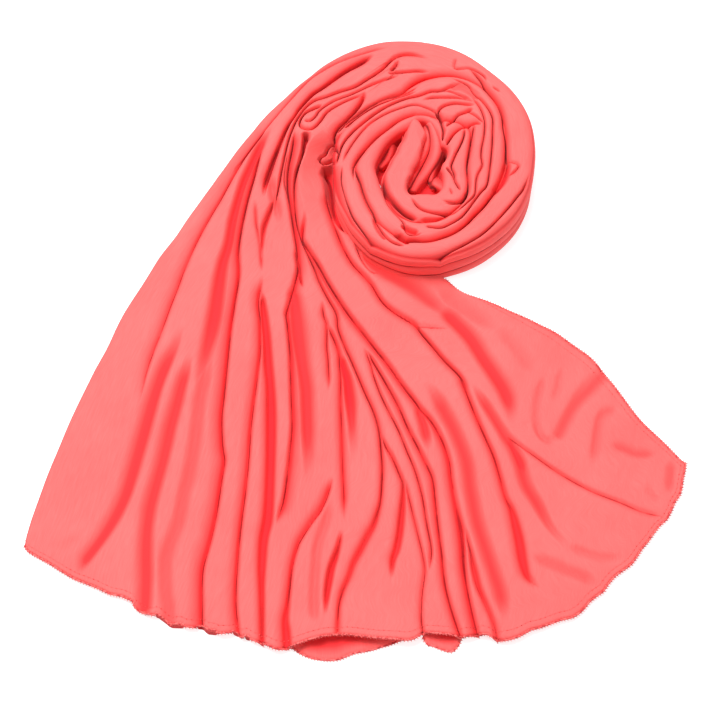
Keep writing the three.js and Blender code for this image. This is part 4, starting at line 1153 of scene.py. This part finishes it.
# %% The heart
Roll = namedtuple("Roll", "name half_width start_height end_height places")
HEART_ROLLS = [
    Roll("lit fold", 5.5, 43, 29, [
        (66.9, 201.5), (69.6, 189.9), (70.7, 178.3), (68.4, 166.9), (62.4, 155.4), (55.6, 145),
        (50, 136)]),
    Roll("red strip", 4.5, 37, 29, [
        (63.5, 198), (62.5, 186), (60.2, 174.5), (55, 162.1), (49.9, 149.7), (45.6, 139.3)]),
    Roll("pocket lip", 2.6, 43, 41, [(62, 212), (65, 206.4), (69.5, 198.6), (73, 190)]),
    Roll("second fold", 3.2, 31, 28, [
        (75.5, 172), (70.5, 160.2), (66.5, 151.6), (65.2, 144.1), (68, 136.5)]),
    Roll("low fold", 5.0, 33, 34, [(69, 141), (75.4, 136.5), (80.2, 131.8), (86, 126)]),
    Roll("curl", 2.6, 36, 36, [(80, 139), (83, 133), (88, 131)]),
    Roll("west small fold", 2.6, 42, 30, [(41.5, 206), (39.6, 199), (40.6, 190), (42, 182)]),
    Roll("west slope", 4.0, 31, 28, [(24, 192), (30.5, 181), (28.4, 167), (22, 158)]),
    Roll("west line", 2.4, 35, 32, [(20, 184), (25.5, 188), (32, 195), (38, 201)]),
]
HEART_RADIUS = 46
HEART_FLOOR = 19
HEART_RINGS = 84
HEART_SPOKES = 241
SINK_AT_EDGE = 6
SINK_POWER = 2.2


def way_along(line, places):
    """The distance from a line and the share of its length that is behind the nearest place on it."""
    a, run = line[:-1], np.diff(line, axis=0)
    v = places[:, None] - a
    t = np.clip((v * run).sum(-1) / (run * run).sum(-1), 0, 1)
    off = np.linalg.norm(v - t[..., None] * run, axis=-1)
    pick = off.argmin(1)
    index = np.arange(len(places))
    return off[index, pick], (pick + t[index, pick]) / len(a)


ring = np.linspace(0.05, HEART_RADIUS, HEART_RINGS)[None]
spoke = np.radians(np.linspace(-180, 180, HEART_SPOKES))[:, None]
heart_x = COIL_CENTRE[0] + ring * np.cos(spoke)
heart_y = COIL_CENTRE[1] + ring * np.sin(spoke)
heart_grid = on_sight(np.stack([heart_x, heart_y], -1), COIL_PLANE, 0)
tops = []
for r in HEART_ROLLS:
    line = on_sight(evenly(r.places, 2), COIL_PLANE, 0)
    off, share = way_along(line, heart_grid.reshape(-1, 2))
    top = r.start_height + (r.end_height - r.start_height) * share
    tops.append(top - SINK_AT_EDGE * (off / r.half_width) ** SINK_POWER)
tops.append(np.full(len(tops[0]), float(HEART_FLOOR)))
tops = np.array(tops)
print(len(HEART_ROLLS), "rolls in the heart, up to", round(float(tops.max()), 1), "mm high")

# %% The heart's surface and its fold lines
# Painted shade: the height that is fully lit, how red a sunk roll is painted and how fast that grows, and how
# strong the painted shadow line is where two rolls meet
HEART_LIT = 42
HEART_SUNK_SHADE = 0.8
SUNK_SHADE_POWER = 1.3
HEART_LINE_STRENGTH = 0.9
# How far from a meeting line a place counts, for each millimetre between the two highest rolls
LINE_PER_STEP = 0.22

order = np.argsort(-tops, axis=0)
first, second = order[0], order[1]
top_height = np.take_along_axis(tops, order[:2], 0)
gap = LINE_PER_STEP * (top_height[0] - top_height[1])
gap = np.where(first < second, gap, -gap)
# A number of its own for each pair of rolls
pair = 100 * np.minimum(first, second) + np.maximum(first, second)
heart_shape = heart_grid.shape[:2]
heart_places = lifted(heart_grid, top_height[0].reshape(heart_shape), floor=6, seed=5, creases=[])
# Painted shade, redder where a roll lies low, and painted shadow lines where two rolls meet
sunk = np.clip((HEART_LIT - top_height[0]) / (HEART_LIT - HEART_FLOOR), 0, 1)
heart_places[..., 3] = (HEART_SUNK_SHADE * sunk ** SUNK_SHADE_POWER).reshape(heart_shape)
heart_places[..., 4] = np.where(np.maximum(first, second) == len(HEART_ROLLS), FAR, gap).reshape(heart_shape)
heart_places[..., 5] = HEART_LINE_STRENGTH
heart_places[..., 6] = pair.reshape(heart_shape)
heart_places[-1] = heart_places[0]
heart = cloth_object("heart_cloth", "coil_heart", np.swapaxes(heart_places, 0, 1), flip=True)

# %% [markdown]
# ## Lower layers of the hem
#
# The shawl is doubled under the fan, and in two places the lower layer shows in front of the upper hem.
# Each is a narrow sheet with the front edge that shows. It starts at that edge, rises at once and runs back
# flat beneath the fan, where painted shade darkens it, since the upper hem lies over it.

# %% Lower layers of the hem
UNDERFOLDS = {
    "hem_underfold_middle": [
        (-56, -256), (-50, -259.5), (-46, -262.5), (-40, -265.5), (-34, -267.5), (-27, -268.6),
        (-20, -268.8), (-13.6, -268), (-8, -265.7), (-1, -263), (6, -261.7), (14, -260), (20, -258),
        (27, -256), (37, -252)],
    "hem_underfold_right": [
        (54, -250), (58, -256), (62, -257), (69, -260), (77, -261.7), (82, -257), (85, -250)],
}
UNDERFOLD_CREST = 2.6
UNDERFOLD_PLANE = 3
UNDERFOLD_STEP = 0.8
UNDERFOLD_ROWS = 30
UNDERFOLD_BACK = 26.0
UNDERFOLD_WAVE = 22
UNDERFOLD_WANDER = 0.8
# The height at the very edge as a share of the crest, and how dark its painted shade gets further back
EDGE_SHARE = 0.55
UNDERFOLD_SHADE = 0.6


def underfold(name, line, seed):
    """One lower layer behind its front edge, and the row of places along that edge."""
    front = on_sight(evenly(line, UNDERFOLD_STEP), UNDERFOLD_PLANE, 0)
    depth = np.linspace(0, 1, UNDERFOLD_ROWS)
    grid = front[:, None] + np.array([0.0, UNDERFOLD_BACK]) * depth[None, :, None]
    height = UNDERFOLD_CREST + unevenness(front, seed, UNDERFOLD_WAVE, UNDERFOLD_WANDER)
    rise = np.sin(0.5 * math.pi * np.minimum(1, depth * 5))
    height = height[:, None] * (EDGE_SHARE + (1 - EDGE_SHARE) * rise)
    places = lifted(grid, height, floor=CLOTH_FOOT, seed=seed, creases=[])
    # Painted shade, darker further back beneath the upper hem
    places[..., 3] = 0.04 + UNDERFOLD_SHADE * np.clip(2.6 * depth - 0.35, 0, 1)
    return cloth_object(name + "_cloth", name, places, flip=True), places[:, 0]


middle_under, middle_under_row = underfold("hem_underfold_middle", UNDERFOLDS["hem_underfold_middle"], 20)
right_under, right_under_row = underfold("hem_underfold_right", UNDERFOLDS["hem_underfold_right"], 21)

# %% [markdown]
# ## A small language for nodes
#
# A node tree written out link by link is hard to read. `Flow` wraps one socket, so shader arithmetic reads
# like plain maths, and any other node is one call with its inputs by name. It serves geometry trees as
# well.

# %% Nodes as plain maths
class Flow:
    """A shader socket that can be added, multiplied and passed to further nodes."""

    def __init__(self, tree, socket):
        self.tree, self.socket = tree, socket

    def node(self, kind, settings=None, output=0, **inputs):
        """One output of a new node. An input is given by name, or by number as _0, _1 and so on."""
        made = self.tree.nodes.new(kind)
        for key, value in (settings or {}).items():
            setattr(made, key, value)
        for key, value in inputs.items():
            slot = made.inputs[int(key[1:]) if key[1:].isdigit() else key.replace("_", " ")]
            if isinstance(value, Flow):
                self.tree.links.new(value.socket, slot)
            else:
                slot.default_value = value
        return Flow(self.tree, made.outputs[output])

    def math(self, operation, a, b=0.0):
        """A sum of one or two values, by the name of its operation."""
        return self.node("ShaderNodeMath", {"operation": operation}, _0=a, _1=b)

    def __add__(self, other):
        return self.math("ADD", self, other)

    def __radd__(self, other):
        return self.math("ADD", other, self)

    def __sub__(self, other):
        return self.math("SUBTRACT", self, other)

    def __rsub__(self, other):
        return self.math("SUBTRACT", other, self)

    def __mul__(self, other):
        return self.math("MULTIPLY", self, other)

    def __rmul__(self, other):
        return self.math("MULTIPLY", other, self)

    def __pow__(self, other):
        return self.math("POWER", self, other)


def set_inputs(node, **values):
    """Sets a node's own sockets to constants, with _ for a space in a name."""
    for key, value in values.items():
        node.inputs[key.replace("_", " ")].default_value = value


print("Flow knows", ", ".join(k for k in vars(Flow) if k not in ("__module__", "__doc__")))

# %% [markdown]
# ## The overlocked edge
#
# The real edge is rolled and wrapped by a sewing machine: a thin roll with thread loops at an even pitch,
# and a row of small stitches just inside. Geometry Nodes suit such repeats along a path: the pitch and
# sizes are named inputs, and a fixed seed lets each loop lean a little differently. The inputs are set
# first, and the evaluated result is kept as a plain mesh.

# %% The sewing node tree
SEWING_DEFAULTS = {
    "Pitch": 0.0025, "Roll Radius": 0.0008, "Thread Length": 0.0026, "Thread Radius": 0.0004, "Slant": 0.5,
    "Jitter": 0.12,
}
SEWING_SEED = 4


def sewing_tree():
    """A tree that turns an edge path into a roll with slanted threads across it."""
    tree = bpy.data.node_groups.new("sewn_edge", "GeometryNodeTree")
    face = tree.interface
    face.new_socket("Geometry", in_out="INPUT", socket_type="NodeSocketGeometry")
    for name, value in SEWING_DEFAULTS.items():
        face.new_socket(name, in_out="INPUT", socket_type="NodeSocketFloat").default_value = value
    face.new_socket("Seed", in_out="INPUT", socket_type="NodeSocketInt").default_value = SEWING_SEED
    face.new_socket("Material", in_out="INPUT", socket_type="NodeSocketMaterial")
    face.new_socket("Geometry", in_out="OUTPUT", socket_type="NodeSocketGeometry")
    given = {s.name: Flow(tree, s) for s in tree.nodes.new("NodeGroupInput").outputs}
    add = given["Geometry"].node
    path = add("GeometryNodeMeshToCurve", Mesh=given["Geometry"])
    ring = add("GeometryNodeCurvePrimitiveCircle", Resolution=6, Radius=given["Roll Radius"])
    roll = add("GeometryNodeCurveToMesh", Curve=path, Profile_Curve=ring)
    marks = add("GeometryNodeResampleCurve", {"mode": "LENGTH"}, Curve=path, Length=given["Pitch"])
    thread = add("GeometryNodeMeshUVSphere", Segments=6, Rings=5, Radius=1.0)
    tangent = add("GeometryNodeInputTangent")
    facing = add("FunctionNodeAlignRotationToVector", {"axis": "Y"}, Vector=tangent)
    least = given["Slant"] - given["Jitter"]
    most = given["Slant"] + given["Jitter"]
    seed = given["Seed"]
    sway = add("FunctionNodeRandomValue", {"data_type": "FLOAT"}, output=1, _2=least, _3=most, Seed=seed)
    lean = add("FunctionNodeEulerToRotation", Euler=add("ShaderNodeCombineXYZ", Z=sway))
    turned = add("FunctionNodeRotateRotation", {"rotation_space": "LOCAL"}, Rotation=facing, Rotate_By=lean)
    radius = given["Thread Radius"]
    size = add("ShaderNodeCombineXYZ", X=given["Thread Length"], Y=radius, Z=radius)
    threads = add("GeometryNodeInstanceOnPoints", Points=marks, Instance=thread, Rotation=turned, Scale=size)
    both = add("GeometryNodeJoinGeometry", Geometry=roll)
    tree.links.new(threads.socket, both.socket.node.inputs["Geometry"])
    real = add("GeometryNodeRealizeInstances", Geometry=both)
    painted = add("GeometryNodeSetMaterial", Geometry=real, Material=given["Material"])
    tree.links.new(painted.socket, tree.nodes.new("NodeGroupOutput").inputs["Geometry"])
    print("sewing tree of", len(tree.nodes), "nodes")
    return tree


SEWING = sewing_tree()
SOCKETS = {s.name: s.identifier for s in SEWING.interface.items_tree if s.in_out == "INPUT"}


def sewn(name, path, material, **inputs):
    """A sewn edge or stitch row along a path of places in millimetres."""
    mesh = bpy.data.meshes.new(name + "_path")
    co = (path[:, :3] + [DRAWING_SHIFT[0], DRAWING_SHIFT[1], 0]) * MM
    mesh.from_pydata(co.tolist(), [(i, i + 1) for i in range(len(co) - 1)], [])
    line = bpy.data.objects.new(name + "_path", mesh)
    bpy.context.collection.objects.link(line)
    modifier = line.modifiers.new("sewing", "NODES")
    modifier.node_group = SEWING
    for key, value in inputs.items():
        modifier[SOCKETS[key.replace("_", " ").title()]] = value
    modifier[SOCKETS["Material"]] = material
    graph = bpy.context.evaluated_depsgraph_get()
    made = bpy.data.meshes.new_from_object(line.evaluated_get(graph))
    bpy.data.objects.remove(line)
    made.polygons.foreach_set("use_smooth", np.ones(len(made.polygons), bool))
    piece = bpy.data.objects.new(name, made)
    bpy.context.collection.objects.link(piece)
    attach(piece, "root")
    print(name, len(made.polygons), "faces")
    return piece


# %% [markdown]
# ## The jersey
#
# The jersey is a saturated coral with fine wales along the cloth and slightly paler streaks where the yarn
# is thinner. Down in the folds it is painted a deeper red, as painted shade. Viscose jersey is matt with a
# little sheen at a low angle. The colour first goes from pale to coral by the streaks, then to two deeper
# reds of painted shade by the depth of the fold, and last to near black on the thin painted shadow lines.
# The UV is in metres of cloth, so the wales keep their pitch on every piece. The sewing thread has the same
# colour, with shadow between its strands.

# %% The jersey and the thread
CORAL = (0.89, 0.107, 0.104, 1)
PALE_CORAL = (0.92, 0.136, 0.130, 1)
# Painted shade: two deeper reds for the folds, and near black for the painted shadow lines
SHADED_CORAL = (0.79, 0.040, 0.042, 1)
DARKEST_SHADED_CORAL = (0.74, 0.016, 0.024, 1)
SHADOW_LINE_COLOUR = (0.20, 0.004, 0.006, 1)
SHADOW_LINE_HALF_WIDTH = 0.6
THREAD_CORAL = (0.88, 0.13, 0.12, 1)
THREAD_SHADOW = (0.46, 0.025, 0.028, 1)
WALE_PITCH = 0.0013
BUMP_HEIGHT = 0.00016
WALE_RELIEF = 0.25
STREAK_RELIEF = 0.9
GRAIN_RELIEF = 0.5
STREAK_STRETCH = (700.0, 60.0, 1.0)
GRAIN_STRETCH = (500.0, 900.0, 1.0)


def mixed(flow, share, first, second):
    """A colour that goes from the first to the second."""
    return flow.node("ShaderNodeMix", {"data_type": "RGBA"}, output=2, Factor=share, _6=first, _7=second)


def stored(flow, name):
    """A value that the mesh keeps at its points or corners."""
    return flow.node("ShaderNodeAttribute", {"attribute_name": name}, output=2)


def jersey():
    """The cloth's material."""
    material = bpy.data.materials.new("coral_jersey")
    material.use_nodes = True
    tree = material.node_tree
    shader = tree.nodes["Principled BSDF"]
    flow = Flow(tree, tree.nodes.new("ShaderNodeUVMap").outputs[0])
    tree.nodes["UV Map"].uv_map = "cloth"
    across_uv = flow.node("ShaderNodeSeparateXYZ", _0=flow)
    wales = flow.math("SINE", across_uv * (2 * math.pi / WALE_PITCH))
    stretched = flow.node("ShaderNodeVectorMath", {"operation": "MULTIPLY"}, _0=flow, _1=STREAK_STRETCH)
    streaks = flow.node("ShaderNodeTexNoise", Vector=stretched, Scale=1.0, Detail=3.0, Roughness=0.6)
    crossed = flow.node("ShaderNodeVectorMath", {"operation": "MULTIPLY"}, _0=flow, _1=GRAIN_STRETCH)
    grain = flow.node("ShaderNodeTexNoise", Vector=crossed, Scale=1.0, Detail=2.0, Roughness=0.7)
    place = flow.node("ShaderNodeTexCoord", output=3)
    broad = flow.node("ShaderNodeTexNoise", Vector=place, Scale=14.0, Detail=3.0, Roughness=0.5)
    fold = stored(flow, "fold")
    pale = flow.node("ShaderNodeMapRange", Value=streaks * 0.6 + broad * 0.4, From_Min=0.36, From_Max=0.64)
    base = mixed(flow, pale, CORAL, PALE_CORAL)
    # Painted shade: a deeper red by the depth of the fold
    deep = flow.node("ShaderNodeMapRange", Value=fold, From_Min=0.0, From_Max=0.5)
    deepest = flow.node("ShaderNodeMapRange", Value=fold, From_Min=0.45, From_Max=1.0)
    red = mixed(flow, deep, base, SHADED_CORAL)
    dark = mixed(flow, deepest, red, DARKEST_SHADED_CORAL)
    # The painted shadow line: near black close to a thin crease
    shadow_way = stored(flow, "shadow_way")
    line = flow.math("EXPONENT", shadow_way * shadow_way * (-1 / SHADOW_LINE_HALF_WIDTH ** 2)) * stored(flow, "strength")
    colour = mixed(flow, line, dark, SHADOW_LINE_COLOUR)
    tree.links.new(colour.socket, shader.inputs["Base Color"])
    relief = wales * WALE_RELIEF + streaks * STREAK_RELIEF + grain * GRAIN_RELIEF
    bump = flow.node("ShaderNodeBump", Height=relief, Strength=0.6, Distance=BUMP_HEIGHT)
    tree.links.new(bump.socket, shader.inputs["Normal"])
    set_inputs(shader, Roughness=0.82, Specular_IOR_Level=0.12, Sheen_Weight=0.10, Sheen_Roughness=0.45,
               Sheen_Tint=(1.0, 0.62, 0.6, 1))
    return material


def sewing_thread():
    """The material of the overlock and the stitches."""
    material = bpy.data.materials.new("sewing_thread")
    material.use_nodes = True
    shader = material.node_tree.nodes["Principled BSDF"]
    flow = Flow(material.node_tree, None)
    place = flow.node("ShaderNodeTexCoord", output=3)
    twist = flow.node("ShaderNodeTexNoise", Vector=place, Scale=620.0, Detail=1.0)
    gaps = flow.node("ShaderNodeMapRange", Value=twist, From_Min=0.42, From_Max=0.58)
    colour = mixed(flow, gaps, THREAD_CORAL, THREAD_SHADOW)
    material.node_tree.links.new(colour.socket, shader.inputs["Base Color"])
    set_inputs(shader, Roughness=0.7)
    return material


coral = jersey()
thread = sewing_thread()
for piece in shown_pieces():
    if piece.name.endswith("_cloth"):
        piece.data.materials.clear()
        piece.data.materials.append(coral)
print("materials:", coral.name, "and", thread.name)

# %% [markdown]
# ## Sewing the edges
#
# The overlock runs along the whole edge of the cut: here the hem, the long edge at the right and the two
# lower layers. It follows the outermost row of each cloth's own grid, so it can't come off the edge. The
# small stitches follow a row further in, as the needle's line does.

# %% Sewing the edges
INSET_ROW = -3
OVERLOCK_LIFT = -0.1
UNDER_OVERLOCK_LIFT = 0.2
STITCH_LIFT = 0.15
STITCHES = {
    "pitch": 0.0042, "roll_radius": 0.00005, "thread_length": 0.00035, "thread_radius": 0.0006, "slant": 0.0,
}


def raised(path, lift):
    """The same path, higher by `lift`."""
    out = path.copy()
    out[:, 2] += lift
    return out


hem_overlock = sewn("hem_overlock", raised(fan_places[:, -1], OVERLOCK_LIFT), thread)
edge_overlock = sewn("edge_overlock", raised(fan_places[-1], OVERLOCK_LIFT), thread)
hem_stitches = sewn("hem_stitches", raised(fan_places[:, INSET_ROW], STITCH_LIFT), thread, **STITCHES)
edge_stitches = sewn("edge_stitches", raised(fan_places[INSET_ROW], STITCH_LIFT), thread, **STITCHES)
under_overlocks = [
    sewn("middle_under_overlock", raised(middle_under_row, UNDER_OVERLOCK_LIFT), thread),
    sewn("right_under_overlock", raised(right_under_row, UNDER_OVERLOCK_LIFT), thread),
]

# %% [markdown]
# ## The sheets
#
# The shawl is one cut of cloth, 1.80 by 0.80 m. Each stretch that shows is a sheet with its own share of
# that cut: the rectangle that it was cut from, and the flat area that shows of it. Both are printed beside
# the area of its mesh.

# %% Sheets
def declare(piece, flat, area):
    """Prints the rectangle a sheet was cut from and its flat area, beside the area of its mesh."""
    surface = sum(p.area for p in piece.data.polygons)
    print(piece.name, "shows", area, "m2 of the cut", flat, "and measures", round(surface, 4))


declare(fan, (0.62, 0.42), 0.185)
declare(neck, (0.32, 0.18), 0.036)
declare(outer, (0.13, 0.45), 0.050)
declare(middle, (0.12, 0.42), 0.046)
declare(inner, (0.12, 0.30), 0.027)
declare(heart, (0.12, 0.12), 0.0115)
declare(flap, (0.11, 0.06), 0.0052)
declare(middle_under, (0.10, 0.035), 0.0026)
declare(right_under, (0.05, 0.035), 0.0009)

# %% [markdown]
# ## Table, light and camera
#
# The photograph has a pure white ground and hardly a shadow, as on a light table, so the table gives off a
# little light itself. A large key light from behind on the left and a weak fill from the front leave soft
# shade in the folds. The camera looks down at 66 degrees from the south, far off with a long lens, as
# product pictures are taken.

# %% Table, light and camera
TABLE_HALF = 30
TABLE_GREY = (0.5, 0.5, 0.5, 1)
TABLE_GLOW = 0.7
STUDIO_GLOW = 0.34
WHITE = (1, 1, 1, 1)
LENS = 100
SENSOR = 36
ELEVATION = math.radians(66)
DISTANCE = 1.7009

floor_mesh = bpy.data.meshes.new("table")
plane = bmesh.new()
bmesh.ops.create_grid(plane, x_segments=1, y_segments=1, size=TABLE_HALF)
plane.to_mesh(floor_mesh)
plane.free()
table = bpy.data.objects.new("table", floor_mesh)
bpy.context.collection.objects.link(table)
white = bpy.data.materials.new("white_table")
white.use_nodes = True
set_inputs(white.node_tree.nodes["Principled BSDF"], Base_Color=TABLE_GREY, Roughness=0.9,
           Emission_Color=WHITE, Emission_Strength=TABLE_GLOW)
floor_mesh.materials.append(white)

world = bpy.data.worlds.new("studio")
bpy.context.scene.world = world
world.use_nodes = True
set_inputs(world.node_tree.nodes["Background"], Color=WHITE, Strength=STUDIO_GLOW)


def softbox(name, place, size, power, target=(0, 0, 0)):
    """A round area light that looks at the target."""
    data = bpy.data.lights.new(name, "AREA")
    data.shape = "DISK"
    data.size = size
    data.energy = power
    lamp = bpy.data.objects.new(name, data)
    lamp.location = place
    lamp.rotation_euler = (Vector(target) - Vector(place)).to_track_quat("-Z", "Y").to_euler()
    bpy.context.collection.objects.link(lamp)


softbox("key", (-0.5, 0.5, 2.1), 1.4, 74)
softbox("fill", (0.8, -0.9, 2.2), 1.6, 13)

camera_data = bpy.data.cameras.new("camera")
camera_data.lens = LENS
camera_data.sensor_width = SENSOR
camera = bpy.data.objects.new("camera", camera_data)
aim = Vector((DRAWING_SHIFT[0] * MM, DRAWING_SHIFT[1] * MM, 0))
camera.location = aim + DISTANCE * Vector((0, -math.cos(ELEVATION), math.sin(ELEVATION)))
camera.rotation_euler = (math.radians(90) - ELEVATION, 0, 0)
bpy.context.collection.objects.link(camera)
bpy.context.scene.camera = camera
bpy.context.scene.view_settings.view_transform = "Standard"
print("camera at", [round(v, 3) for v in camera.location], "with a", LENS, "mm lens")

# %% [markdown]
